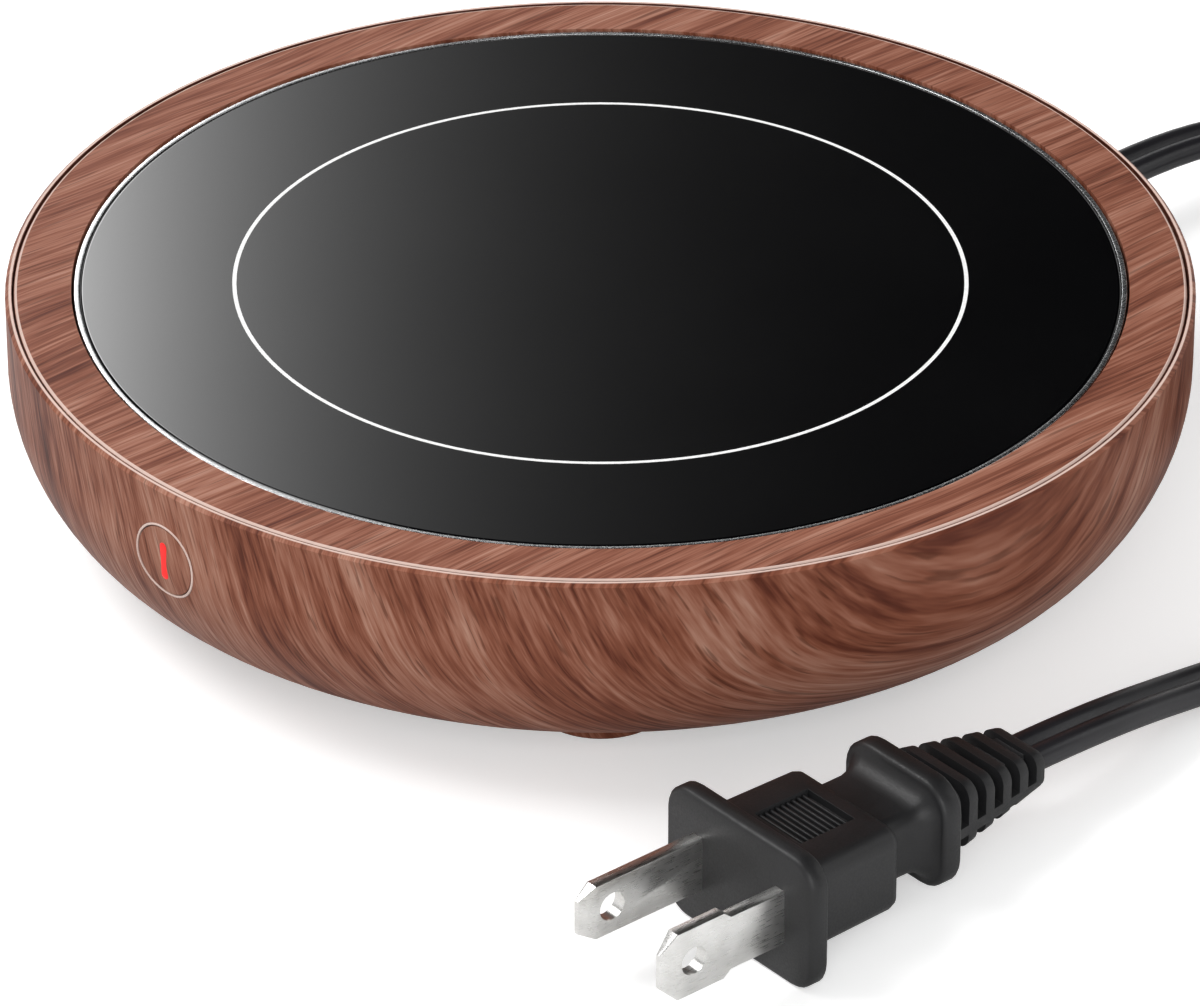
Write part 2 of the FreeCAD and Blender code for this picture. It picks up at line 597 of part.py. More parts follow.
def plate_springs():
    """Compression springs round the guide pins, bent from square wire in short straight steps."""
    radius, thick = value("spring_radius"), value("spring_wire") / 2
    steps = 6
    count = int(steps * value("spring_turns"))
    low = value("spring_seat + spring_wire * 0.6")
    rise = value("%s - spring_wire * 0.6" % carrier_z) - low
    spots = [Vector(radius, 0, low)]
    for k in range(1, count + 1):
        angle = 2 * math.pi * k / steps
        spots.append(Vector(radius * math.cos(angle), radius * math.sin(angle), low + rise * k / count))
    heading = (spots[1] - spots[0]).normalize()
    side = heading.cross(up).normalize()
    top = side.cross(heading).normalize()
    corners = [spots[0] + side * a * thick + top * b * thick for a, b in ((1, 1), (-1, 1), (-1, -1), (1, -1))]
    wire = Part.makePolygon(corners + corners[:1])
    coil = Part.makePolygon(spots).makePipeShell([wire], True, False, 1)
    springs = []
    for angle in quarter_angles:
        spring = doc.addObject("Part::Feature", "spring")
        spring.Shape = coil
        x, y = polar("guide_circle", angle)
        spring.Placement = Placement(Vector(value(x), value(y), 0), Rotation())
        bind(spring, "Placement.Base.x", x)
        bind(spring, "Placement.Base.y", y)
        springs.append(spring)
    keep(group(*springs), "plate_springs")


def button_cap():
    """Round cap whose face follows the bowl's side, with a retaining lip and a stem."""
    body = new_body("power_button")
    disc = new_sketch(body, "XZ_Plane", "cap_disc", "(%s)" % recess_y)
    circle(disc, "0", "button_level", "button_radius")
    feature(body, "Pad", "cap_pad", disc, "(outer_radius - %s + 1)" % recess_y)
    lip = new_sketch(body, "XZ_Plane", "cap_lip", "(%s - button_lip_thick - 0.1)" % recess_y)
    circle(lip, "0", "button_level", "(button_radius + button_lip)")
    feature(body, "Pad", "lip_pad", lip, "(button_lip_thick - 0.2)")
    core = new_sketch(body, "XZ_Plane", "cap_core", "(%s - button_lip_thick)" % recess_y)
    circle(core, "0", "button_level", "(button_radius - 0.4)")
    feature(body, "Pad", "core_pad", core, "(button_lip_thick + 0.2)")
    stem = new_sketch(body, "XZ_Plane", "cap_stem",
                      "(switch_board_face + tact_depth + plunger_length)")
    circle(stem, "0", stem_level, "stem_radius")
    feature(body, "Pad", "stem_pad", stem,
            "(%s - button_lip_thick - switch_board_face - tact_depth - plunger_length + 0.1)" % recess_y)
    window = new_sketch(body, "XZ_Plane", "bar_window", "(%s - button_lip_thick - 1)" % recess_y)
    bar_slot(window, "0.04")
    feature(body, "Pocket", "bar_pocket", window, "8", reverse=True)
    shape_face(body)
    return body


def bar_slot(sketch, gap):
    """Upright slot with round ends for the light bar, above the stem."""
    half = "(bar_width / 2 + %s)" % gap
    tall = "(bar_height / 2 - bar_width / 2)"
    points = [
        (half, "(button_level - %s)" % tall), (half, "(button_level + %s)" % tall),
        ("(-%s)" % half, "(button_level + %s)" % tall), ("(-%s)" % half, "(button_level - %s)" % tall)]
    outline(sketch, points)
    return sketch


def shape_face(body, inset="0"):
    """Trims a piece in the button hole to the bowl's outer side."""
    trim = new_sketch(body, "XZ_Plane", "side_trim")
    side = "(side_arc - %s)" % inset
    low = "(%s - %s * sin(join_angle))" % (side_low, side)
    points = [
        ("(outer_radius - %s)" % inset, "(total_height - 1)"),
        ("(outer_radius - %s)" % inset, side_low),
        ("(%s + %s * cos(join_angle))" % (side_cx, side), low),
        ("(outer_radius + 8)", low),
        ("(outer_radius + 8)", "(total_height - 1)")]
    outline(trim, points, {1: (side_cx, side_low, False)})
    spin(body, "Groove", "side_groove", trim)


def button_parts():
    button_cap()
    bar = new_body("light_bar")
    pane = new_sketch(bar, "XZ_Plane", "bar_profile", "(%s - button_lip_thick)" % recess_y)
    bar_slot(pane, "0")
    feature(bar, "Pad", "bar_pad", pane, "(outer_radius - %s + button_lip_thick + 1)" % recess_y)
    shape_face(bar)

    ring = new_body("button_ring")
    band = new_sketch(ring, "XZ_Plane", "ring_profile", "(%s + 0.1)" % recess_y)
    circle(band, "0", "button_level", "(button_radius + button_gap + button_ring_wall - 0.03)")
    circle(band, "0", "button_level", "(button_radius + button_gap)")
    feature(ring, "Pad", "ring_pad", band, "(outer_radius - %s + 1)" % recess_y)
    shape_face(ring, "(-0.08)")

    board = centred_box("0", "(switch_board_thick / 2 - switch_board_face)", "switch_board_low",
                        "switch_board_width", "switch_board_thick",
                        "(switch_board_top - switch_board_low)")
    keep(board, "button_board")
    tact_y = "(-switch_board_face - tact_depth)"
    shell = centred_box("0", "(-switch_board_face - tact_depth / 2)", "(%s - tact_size / 2)" % stem_level,
                        "tact_size", "tact_depth", "tact_size")
    bore = rod_along_y("0", "(%s - 1)" % tact_y, stem_level, "(plunger_radius + 0.2)", "3.2")
    keep(cut(shell, bore), "tact_switch")
    keep(rod_along_y("0", "(%s - plunger_length)" % tact_y, stem_level, "plunger_radius",
                     "(plunger_length + 1.2)"), "switch_plunger")
    lamp = centred_box("0", "(-switch_board_face - 0.5)", "(button_level + 1.2)", "1.6", "1", "0.9")
    keep(lamp, "indicator_led")


def on_board(x, y, length, width, height):
    return centred_box(x, y, board_top, length, width, height)


def control_board():
    plate = centred_box("0", "0", board_z, "board_length", "board_width", "board_thick")
    keep(cut(plate, *[rod(x, y, "(board_z - 1)", "(small_shank + 0.3)", "(board_thick + 2)")
                      for x, y in board_corners()]), "control_board")

    film = on_board("-12", "7", "13", "6.2", "6.6")
    doc.recompute()
    keep(rounded(film, 0.6, lambda edge: runs_along(edge, up)), "film_capacitor")

    can = solid("Cylinder", ("-17.5", "-2", "(%s + 3.2)" % board_top), turn=((0, 1, 0), 90),
                Radius="3.15", Height="11")
    groove = cut(solid("Cylinder", ("-16.6", "-2", "(%s + 3.2)" % board_top), turn=((0, 1, 0), 90),
                       Radius="3.5", Height="0.7"),
                 solid("Cylinder", ("-16.6", "-2", "(%s + 3.2)" % board_top), turn=((0, 1, 0), 90),
                       Radius="2.85", Height="0.7"))
    keep(cut(can, groove), "filter_capacitor")

    tab = on_board("-10", "-12.5", "15", "10", "1.3")
    case = centred_box("-7", "-12.5", "(%s + 1.3)" % board_top, "9", "10", "3.1")
    eye = rod("-15", "-12.5", "(%s - 1)" % board_top, "1.8", "4")
    keep(cut(fuse(tab, case), eye), "power_triac")

    chip = on_board("3", "-8", "4.9", "3.9", "1.5")
    legs = [on_board("(3 + (%d) * 1.27)" % step, "-8", "0.4", "6", "0.6") for step in (-1.5, -0.5, 0.5, 1.5)]
    keep(fuse(chip, *legs), "controller_chip")

    block = on_board("2", "14.5", "12", "7", "6.4")
    entries = [rod_along_y("%s" % x, "16", "(%s + 3)" % board_top, "1.3", "3") for x in ("-1", "5")]
    slots = [rod("%s" % x, "13.2", "(%s + 5.4)" % board_top, "1.4", "2") for x in ("-1", "5")]
    keep(cut(block, *entries, *slots), "mains_terminal")

    glass = solid("Cylinder", ("9.5", "7.6", "(%s + 2)" % board_top), turn=((0, 1, 0), 90),
                  Radius="1.7", Height="9")
    ends = [solid("Cylinder", ("%s" % x, "7.6", "(%s + 2)" % board_top), turn=((0, 1, 0), 90),
                  Radius="1.95", Height="2") for x in ("8.5", "17.5")]
    keep(fuse(glass, *ends), "board_fuse")

    header = on_board("cable_place", "-16", "(cable_width + 4)", "4", "4.6")
    pocket = centred_box("cable_place", "-16", "(%s + 1.6)" % board_top, "(cable_width + 2.8)", "2.8", "4")
    keep(cut(header, pocket), "cable_header")

    # ribbon from the switch board over the front spring's boss and down into the header
    ribbon = new_body("button_cable")
    strip = new_sketch(ribbon, "YZ_Plane", "ribbon_profile", "(cable_place - cable_width / 2)")
    back = "(switch_board_thick + 0.05 - switch_board_face)"
    outline(strip, [
        (back, "(spring_seat + 2)"), ("(%s + 4)" % back, "(spring_seat + 2)"),
        ("(-guide_circle)", "(spring_seat + 0.9)"), ("-24", "(spring_seat + 2.6)"),
        ("-16.6", "(spring_seat + 3.4)"), ("-16.2", "(spring_seat + 2.8)"),
        ("-16.2", "(%s + 1.7)" % board_top), ("-15.8", "(%s + 1.7)" % board_top),
        ("-15.8", "(spring_seat + 3.4)"), ("-16.4", "(spring_seat + 3.9)"),
        ("-24", "(spring_seat + 3)"), ("(-guide_circle)", "(spring_seat + 1.3)"),
        ("(%s + 4)" % back, "(spring_seat + 2.4)"), (back, "(spring_seat + 2.4)")])
    feature(ribbon, "Pad", "ribbon_pad", strip, "cable_width")

    limit_x = "(limit_length / 2 + 7.6)"
    case = on_board(limit_x, "-1.6", "limit_length", "limit_width", "limit_height")
    ears = [rod_along_y("%s" % x, "(-1.6 - limit_width / 2 - 1)", "(%s + 1.6)" % board_top, "1",
                        "(limit_width + 2)") for x in ("(%s - 3.2)" % limit_x, "(%s + 3.2)" % limit_x)]
    knob = centred_box("(%s + 1.5)" % limit_x, "-1.6", "(%s + limit_height)" % board_top, "1", "2.4", "0.5")
    pivot = [centred_box("(%s - limit_length / 2 + 1)" % limit_x, "%s" % y,
                         "(%s + limit_height)" % board_top, "2", "0.6", "1.7")
             for y in ("(-1.6 - lever_width / 2 - 0.5)", "(-1.6 + lever_width / 2 + 0.5)")]
    pin_hole = rod_along_y("(%s - limit_length / 2 + 1)" % limit_x, "(-1.6 - lever_width / 2 - 2)",
                           "(board_top + limit_height + 0.6 + lever_thick / 2)", "(lever_pin + 0.05)",
                           "(lever_width + 4)")
    keep(cut(fuse(cut(case, *ears), knob, *pivot), pin_hole), "limit_switch")

    # sprung lever from the pivot up to the carrier, a bent strip with a curled tip
    lever = new_body("switch_lever")
    strip = new_sketch(lever, "XZ_Plane", "lever_profile", "1.6")
    start = "(%s - limit_length / 2 + 1)" % limit_x
    pivot_z = "(%s + limit_height + 0.6)" % board_top
    tip_top = "(%s - lever_gap)" % carrier_z
    outline(strip, [
        (start, pivot_z), ("(%s + lever_length - 2)" % start, "(%s - 0.9)" % tip_top),
        ("(%s + lever_length - 0.6)" % start, "(%s - lever_thick)" % tip_top),
        ("(%s + lever_length + 0.6)" % start, "(%s - lever_thick)" % tip_top),
        ("(%s + lever_length + 0.6)" % start, tip_top),
        ("(%s + lever_length - 0.9)" % start, tip_top),
        ("(%s + lever_length - 2.2)" % start, "(%s - 0.6)" % tip_top),
        (start, "(%s + lever_thick)" % pivot_z)])
    feature(lever, "Pad", "lever_pad", strip, "lever_width", both=True)
    pin = new_sketch(lever, "XZ_Plane", "pivot_pin", "1.6")
    circle(pin, start, "(%s + lever_thick / 2)" % pivot_z, "lever_pin")
    feature(lever, "Pad", "pin_pad", pin, "(lever_width + 1.6)", both=True)


def tube(points, section, label):
    """A tube of straight runs and tangent arcs; prints its smallest radius and checks its volume."""
    edges = []
    radii = []
    last = points[0]
    for i in range(1, len(points) - 1):
        before, corner, after = points[i - 1], points[i], points[i + 1]
        inward = (corner - before).normalize()
        outward = (after - corner).normalize()
        half = inward.getAngle(outward) / 2
        short = min((corner - before).Length, (after - corner).Length)
        reach = 0.45 * short
        radius = reach / math.tan(half)
        radii.append(radius)
        start = corner - inward * reach
        stop = corner + outward * reach
        middle = corner + (outward - inward).normalize() * (radius / math.cos(half) - radius)
        edges.append(Part.LineSegment(last, start).toShape())
        edges.append(Part.Arc(start, middle, stop).toShape())
        last = stop
    edges.append(Part.LineSegment(last, points[-1]).toShape())
    path = Part.Wire(edges)
    heading = (points[1] - points[0]).normalize()
    profile = Part.Wire(section(points[0], heading))
    shape = path.makePipeShell([profile], True, False)
    expected = Part.Face(profile).Area * path.Length
    print("%s length %.1f, least radius %.1f, volume %.3f of section times length"
          % (label, path.Length, min(radii), shape.Volume / expected))
    item = doc.addObject("Part::Feature", label)
    item.Shape = shape
    item.Placement = Placement()
    keep(item, label)
    return path.Length


def flat_section(start, heading):
    """The twin cord's outline: wide and flat, with its two sides drawn out to a blunt edge."""
    side = heading.cross(up).normalize()
    top = side.cross(heading).normalize()
    half_w, half_t, bevel = value("cord_width / 2"), value("cord_thick / 2"), value("cord_chamfer")
    outline_points = [(half_w, 0), (half_w - bevel, half_t), (bevel - half_w, half_t), (-half_w, 0),
                      (bevel - half_w, -half_t), (half_w - bevel, -half_t)]
    spots = [start + side * a + top * b for a, b in outline_points]
    return Part.makePolygon(spots + spots[:1]).Edges


def round_section(radius):
    """A small lead's outline, near enough round."""
    def ring(start, heading):
        side = heading.cross(up)
        side = (side if side.Length > 0.01 else east).normalize()
        top = side.cross(heading).normalize()
        spots = [start + side * (radius * math.cos(a)) + top * (radius * math.sin(a))
                 for a in (math.pi / 3 * k for k in range(6))]
        return Part.makePolygon(spots + spots[:1]).Edges
    return ring


def coil_spots():
    """Ends and middles of the coil's arcs: five half turns in, one that climbs, then out again."""
    centre_x, centre_y = value("coil_x"), value("coil_y")
    first, pitch = value("coil_radius"), value("coil_pitch")
    low = value("coil_level")
    high = low + value("layer_step")
    radii = [first - pitch / 2 * k for k in range(5)] + [first - pitch * 2.5]
    radii += [first - pitch / 2 * k for k in range(4, -1, -1)]
    here = Vector(centre_x, centre_y + first, low)
    spots = []
    side = 1
    for k, radius in enumerate(radii):
        climb = high - low if k == 5 else 0
        reach = math.sqrt(radius ** 2 + climb ** 2 / 4)
        middle = here + Vector(side * reach, -side * radius, climb / 2)
        there = here + Vector(0, -side * 2 * radius, climb)
        turn = math.sqrt(0.5)
        first_quarter = here + Vector(side * reach * turn, -side * radius * (1 - turn),
                                      climb / 2 * (1 - turn))
        second_quarter = there + Vector(side * reach * turn, side * radius * (1 - turn),
                                        -climb / 2 * (1 - turn))
        spots.append((here, first_quarter, middle))
        if k < len(radii) - 1:
            spots.append((middle, second_quarter, there))
        here = there
        side = -side
    return spots


def cord_coil():
    spots = coil_spots()
    straight = value("cord_width")
    entry = spots[0][0] - Vector(straight, 0, 0)
    leave = spots[-1][2] - Vector(0, straight, 0)
    edges = [Part.LineSegment(entry, spots[0][0]).toShape()]
    edges += [Part.Arc(*three).toShape() for three in spots]
    edges.append(Part.LineSegment(spots[-1][2], leave).toShape())
    path = Part.Wire(edges)
    profile = Part.Wire(flat_section(entry, Vector(1, 0, 0)))
    shape = path.makePipeShell([profile], True, False)
    expected = Part.Face(profile).Area * path.Length
    item = doc.addObject("Part::Feature", "cord_coil")
    item.Shape = shape
    item.Placement = Placement()
    keep(item, "cord_coil")
    print("cord_coil length %.1f, volume %.3f of section times length"
          % (path.Length, shape.Volume / expected))
    print("cord_coil least gap to itself %.2f" % coil_gap(path))
    return path.Length


def coil_gap(path):
    """Least clearance between turns, measured on points along the coil's centre line."""
    points = path.discretize(Distance=2.0)
    width, thick = value("cord_width"), value("cord_thick")
    near = 1e9
    for i, a in enumerate(points):
        for b in points[i + 30:]:
            flat = math.hypot(a.x - b.x, a.y - b.y)
            rise = abs(a.z - b.z)
            near = min(near, max(flat - width, rise - thick))
    return near


def cord_spans():
    low = value("coil_level")
    exit_end, exit_z = value("relief_end"), value("exit_level")
    coil_top = value("coil_y + coil_radius")
    exit_route = [Vector(*spot) for spot in (
        (0, exit_end, exit_z), (0, exit_end + 12, exit_z), (5.1, 111.7, 6.2), (14.8, 125, 4.6),
        (28.1, 134.7, 3.1), (43.8, coil_top, low), (value("coil_x - cord_width"), coil_top, low))]
    total = tube(exit_route, flat_section, "cord_exit_span")
    plug_turn = Rotation(up, value("plug_angle") - 90)
    plug_foot = Vector(value("plug_x"), value("plug_y"), value(plug_level))
    sleeve_tip = plug_foot + plug_turn.multVec(Vector(0, value("sleeve_end"), 0))
    near_tip = plug_foot + plug_turn.multVec(Vector(0, value("sleeve_end + 10"), 0))
    coil_out = Vector(value("coil_x + coil_radius"), value("coil_y - coil_pitch - cord_width"),
                      value("coil_level + layer_step"))
    plug_route = [coil_out, coil_out - Vector(0, 12.4, 0), Vector(95.2, 62.5, 3.2),
                  Vector(85.8, 46.5, 1.7), Vector(78.8, 30, 1.5), Vector(76.4, 12.5, 3.2), near_tip, sleeve_tip]
    total += tube(plug_route, flat_section, "cord_plug_span")
    return total


def cord_tie():
    """Flat band round all the turns, held a little off the cord."""
    pitch = "coil_pitch"
    inner = "(coil_radius - 2.5 * %s - cord_width / 2 - tie_gap - 0.9)" % pitch
    outer = "(coil_radius - %s / 2 + cord_width / 2 + tie_gap)" % pitch
    low = "(coil_level - cord_thick / 2 - tie_gap)"
    height = "(layer_step + cord_thick + 2 * tie_gap + 0.4)"
    band = solid("Box", ("(coil_x - %s - tie_thick)" % outer, "(coil_y - tie_width / 2)",
                         "(%s - tie_thick)" % low),
                 Length="(%s - %s + 2 * tie_thick)" % (outer, inner), Width="tie_width",
                 Height="(%s + 2 * tie_thick)" % height)
    hollow = solid("Box", ("(coil_x - %s)" % outer, "(coil_y - tie_width)", low),
                   Length="(%s - %s)" % (outer, inner), Width="(2 * tie_width)", Height=height)
    keep(cut(band, hollow), "cord_tie")


def tapered(body, name, sections, level):
    """A loft along +Y through centred rounded rectangles given as (y, width, height, round)."""
    sketches = []
    for y, width, height, corner in sections:
        sketch = new_sketch(body, "XZ_Plane", name + "_section", "(-(%s))" % y)
        hx, hz = "(%s / 2)" % width, "(%s / 2)" % height
        mid = level
        points = [
            ("(%s - %s)" % (hx, corner), "(%s - %s)" % (mid, hz)), (hx, "(%s - %s + %s)" % (mid, hz, corner)),
            (hx, "(%s + %s - %s)" % (mid, hz, corner)), ("(%s - %s)" % (hx, corner), "(%s + %s)" % (mid, hz)),
            ("(%s - %s)" % (corner, hx), "(%s + %s)" % (mid, hz)), ("(-%s)" % hx, "(%s + %s - %s)" % (mid, hz, corner)),
            ("(-%s)" % hx, "(%s - %s + %s)" % (mid, hz, corner)), ("(%s - %s)" % (corner, hx), "(%s - %s)" % (mid, hz))]
        arcs = {
            0: (points[0][0], points[1][1], True), 2: (points[3][0], points[2][1], True),
            4: (points[4][0], points[5][1], True), 6: (points[7][0], points[6][1], True)}
        outline(sketch, points, arcs)
        sketches.append(sketch)
    loft = body.newObject("PartDesign::AdditiveLoft", name)
    loft.Profile = sketches[0]
    loft.Sections = sketches[1:]
    loft.Ruled = True
    return loft


def flex_slots(body, name, first, pitch, count, slot_width, level, top_cut, bottom_cut, core_width,
               core_height):
    """Cross slots in a flexible sleeve, on top and below, that leave a core and a side band."""
    for k in range(count):
        near = "(%s + %d * %s)" % (first, k, pitch)
        for part, z0, z1 in (("upper", "(%s - %s)" % (level, top_cut), "(%s + 12)" % level),
                             ("lower", "(%s - 12)" % level, "(%s - %s)" % (level, bottom_cut))):
            sketch = new_sketch(body, "XZ_Plane", "%s_%s" % (name, part), "(-%s)" % near)
            half = "(%s / 2)" % core_width
            core_z = "(%s + %s / 2)" % (level, core_height) if part == "upper" \
                else "(%s - %s / 2)" % (level, core_height)
            if part == "upper":
                points = [("-12", z0), ("(-%s)" % half, z0), ("(-%s)" % half, core_z), (half, core_z),
                          (half, z0), ("12", z0), ("12", z1), ("-12", z1)]
                outline(sketch, points)
            else:
                low_z = "min(%s; %s)" % (z1, core_z)
                box_outline(sketch, "-12", z0, "12", low_z)
            feature(body, "Pocket", "%s_%s_cut" % (name, part), sketch, slot_width)


def strain_relief():
    body = new_body("strain_relief")
    level = "exit_level"
    throat = "(outer_radius - 4)"
    tapered(body, "relief", [
        ("relief_start", "relief_wall_width", "relief_wall_height", "1.2"),
        (throat, "relief_wall_width", "relief_wall_height", "1.2"),
        ("relief_end", "relief_tip_width", "relief_tip_height", "1.2")], level)
    collar = new_sketch(body, "XZ_Plane", "collar", "(-relief_start)")
    box_outline(collar, "(-relief_wall_width / 2 - relief_flange)",
                "(exit_level - 0.3)",
                "(relief_wall_width / 2 + relief_flange)",
                "(exit_level + relief_wall_height / 2 + relief_flange)")
    feature(body, "Pad", "collar_pad", collar, "relief_flange_thick", reverse=True)
    flex_slots(body, "relief_slot", "(outer_radius + 0.5)", "(relief_slot_width * 2)", 6,
               "relief_slot_width", level, "0.4", "1.2", "4.4", "3.2")
    return body


def cord_clamp():
    level = "exit_level"
    bar_z = "(%s + cord_thick / 2 + 0.1)" % level
    bar = centred_box("0", "clamp_place", bar_z, "(2 * clamp_half + clamp_width)", "clamp_width",
                      "clamp_thick")
    legs = [centred_box("(%d * clamp_half)" % side, "clamp_place",
                        "(exit_level + 0.4)", "clamp_width", "clamp_width",
                        "(cord_thick / 2 - 0.2)") for side in (1, -1)]
    holes = [rod("(%d * clamp_half)" % side, "clamp_place", level, "(small_shank + 0.3)", "8")
             for side in (1, -1)]
    keep(cut(fuse(bar, *legs), *holes), "cord_clamp")
    keep(group(*[screw("(%d * clamp_half)" % side, "clamp_place", "(%s + clamp_thick)" % bar_z,
                       "small_head", "1.2", "small_shank", "4.7", False)
                 for side in (1, -1)]), "clamp_screws")
    tail = centred_box("0", "(clamp_place / 2 + relief_start / 2 - 1.5)",
                       "(%s - cord_thick / 2)" % level, "cord_width",
                       "(relief_start - clamp_place + 3)", "cord_thick")
    doc.recompute()
    keep(rounded(tail, value("cord_chamfer"), lambda edge: runs_along(edge, north)), "cord_tail")


def inner_leads():
    """Insulated leads inside the housing, each with its ends square to what it meets."""
    start_y = value("clamp_place - 3.65")
    level = value("exit_level")
    mouth = value("%s + 3" % board_top)
    post_y = value("guide_circle")
    clear = value("boss_radius + lead_radius + 0.8")
    for side, name in ((-1, "live_lead"), (1, "neutral_lead")):
        target = 2 + side * 3
        tube([Vector(side * value("lead_spread"), start_y, level),
              Vector(side * clear * 0.72, post_y + clear * 0.72, level + 0.3),
              Vector(side * clear, post_y, level + 1.4), Vector(side * clear, post_y - 5, level + 3),
              Vector(target + side * 0.9, 25, mouth - 0.4), Vector(target, 17.1, mouth)],
             round_section(value("lead_radius")), name)
    seat = value(board_top) + 0.05
    plate = value(heater_z) - 0.05
    place = value("window_place")
    reach = value("window_length / 2") - 1.5
    for side, name in ((-1, "heater_lead_left"), (1, "heater_lead_right")):
        tube([Vector(side * (reach + 1.8), place - 6.6, seat),
              Vector(side * (reach + 1.8), place - 6.6, seat + 3),
              Vector(side * reach, place, seat + 7), Vector(side * reach, place, plate)],
             round_section(0.7), name)


def plug():
    body = new_body("plug_body")
    level = plug_level
    tapered(body, "front_flange", [("0", "flange_width", "flange_height", "flange_round"),
                                   ("flange_thick", "flange_width", "flange_height", "flange_round")], level)
    tapered(body, "grip", [("(flange_thick - 0.2)", "grip_width", "grip_height", "grip_round"),
                           ("grip_end", "(grip_width - 0.6)", "grip_height", "grip_round")], level)
    tapered(body, "neck", [("(grip_end - 0.2)", "neck_width", "neck_height", "neck_round"),
                           ("(rear_start - 2.6)", "neck_width", "neck_height", "neck_round"),
                           ("(rear_start - 0.9)", "(neck_width + 0.9)", "(neck_height + 0.9)", "neck_round"),
                           ("(rear_start + 0.1)", "(neck_width + 2.8)", "(neck_height + 3)", "(neck_round * 1.6)")],
            level)
    tapered(body, "rear_flange", [("rear_start", "rear_width", "rear_height", "rear_round"),
                                  ("(rear_start + rear_thick)", "rear_width", "rear_height", "rear_round")], level)
    tapered(body, "sleeve", [("(rear_start + rear_thick - 0.2)", "sleeve_width", "sleeve_height", "1.9"),
                             ("sleeve_end", "sleeve_tip_width", "sleeve_tip_height", "1.4")], level)
    flex_slots(body, "sleeve_slot", "(rear_start + rear_thick + sleeve_slot_width)", "sleeve_slot_pitch", 5,
               "sleeve_slot_width", level, "0.6", "1.7", "5", "3.6")
    # finger recess with cross ribs on the upper and lower grip faces
    for side, name in ((1, "upper"), (-1, "lower")):
        face = "(%s + %d * grip_height / 2)" % (level, side)
        deep = new_sketch(body, "XY_Plane", name + "_recess", "(%s - %d * recess_depth)" % (face, side))
        box_outline(deep, "(-recess_width / 2)", "recess_start", "(recess_width / 2)",
                    "(recess_start + recess_length)")
        feature(body, "Pocket", name + "_recess_cut", deep, "(recess_depth + 1)", reverse=side > 0)
        ribs = new_sketch(body, "XY_Plane", name + "_ribs", "(%s - %d * (recess_depth + 0.1))" % (face, side))
        step = "(recess_length / (rib_count + 1))"
        for k in range(int(value("rib_count"))):
            middle = "(recess_start + %d * %s)" % (k + 1, step)
            box_outline(ribs, "(-recess_width / 2 - 0.1)", "(%s - rib_width / 2)" % middle,
                        "(recess_width / 2 + 0.1)", "(%s + rib_width / 2)" % middle)
        feature(body, "Pad", name + "_rib_pad", ribs, "(rib_height + 0.1)", reverse=side < 0)
    # sockets for the blade roots
    for side in (1, -1):
        root = new_sketch(body, "XZ_Plane", "blade_socket")
        box_outline(root, "(%d * blade_spacing / 2 - blade_thick / 2)" % side,
                    "(%s - blade_height / 2)" % level,
                    "(%d * blade_spacing / 2 + blade_thick / 2)" % side,
                    "(%s + blade_height / 2)" % level)
        feature(body, "Pocket", "blade_socket_cut", root, "blade_root")
    turn = Rotation(up, value("plug_angle") - 90)
    body.Placement = Placement(Vector(value("plug_x"), value("plug_y"), 0), turn)
    bind(body, "Placement.Base.x", "plug_x")
    bind(body, "Placement.Base.y", "plug_y")

    blades = []
    for side, tip in ((-1, "blade_height"), (1, "blade_wide")):
        x = "(%d * blade_spacing / 2 - blade_thick / 2)" % side
        half, wide = "(blade_height / 2)", "(%s / 2)" % tip
        blade = doc.addObject("PartDesign::Body", "blade")
        profile = new_sketch(blade, "YZ_Plane", "blade_profile", x)
        outline(profile, [
            ("blade_root", "(%s - %s)" % (level, half)), ("blade_root", "(%s + %s)" % (level, half)),
            ("(-blade_length + blade_step)", "(%s + %s)" % (level, half)),
            ("(-blade_length + blade_step - 1.2 * (%s - %s + 0.01))" % (wide, half), "(%s + %s)" % (level, wide)),
            ("(-blade_length + blade_bevel)", "(%s + %s)" % (level, wide)),
            ("(-blade_length)", "(%s + %s - 1.2)" % (level, half)),
            ("(-blade_length)", "(%s - %s + 1.2)" % (level, half)),
            ("(-blade_length + blade_bevel)", "(%s - %s)" % (level, wide)),
            ("(-blade_length + blade_step - 1.2 * (%s - %s + 0.01))" % (wide, half), "(%s - %s)" % (level, wide)),
            ("(-blade_length + blade_step)", "(%s - %s)" % (level, half))])
        feature(blade, "Pad", "blade_pad", profile, "blade_thick")
        hole = new_sketch(blade, "YZ_Plane", "blade_hole", "(%s - 1)" % x)
        circle(hole, "(-blade_hole_place)", level, "blade_hole")
        feature(blade, "Pocket", "blade_hole_cut", hole, "(blade_thick + 2)", reverse=True)
        bevel = new_sketch(blade, "XY_Plane", "blade_bevels", "(%s - 6)" % level)
        for face in (0, 1):
            edge_x = "(%s + %d * blade_thick)" % (x, face)
            inward = "(%s + %s)" % (x, "blade_thick * 0.3" if face == 0 else "blade_thick * 0.7")
            far = "(%s - 1)" % edge_x if face == 0 else "(%s + 1)" % edge_x
            outline(bevel, [(edge_x, "(-blade_length + blade_bevel)"), (inward, "(-blade_length)"),
                            (inward, "(-blade_length - 1)"), (far, "(-blade_length - 1)"),
                            (far, "(-blade_length + blade_bevel)")])
        feature(blade, "Pocket", "bevel_cut", bevel, "12", reverse=True)
        blades.append(blade)
    pair = group(*blades)
    pair.Placement = Placement(Vector(value("plug_x"), value("plug_y"), 0), turn)
    bind(pair, "Placement.Base.x", "plug_x")
    bind(pair, "Placement.Base.y", "plug_y")
    keep(pair, "plug_blades")


bowl_housing()
top_ring()
feet()
fasteners()
heating_plate()
plate_springs()
button_parts()
control_board()
strain_relief()
cord_clamp()
inner_leads()
cord_length = cord_coil() + cord_spans()
cord_tie()
plug()
doc.recompute()
print("free cord length %.0f" % cord_length)

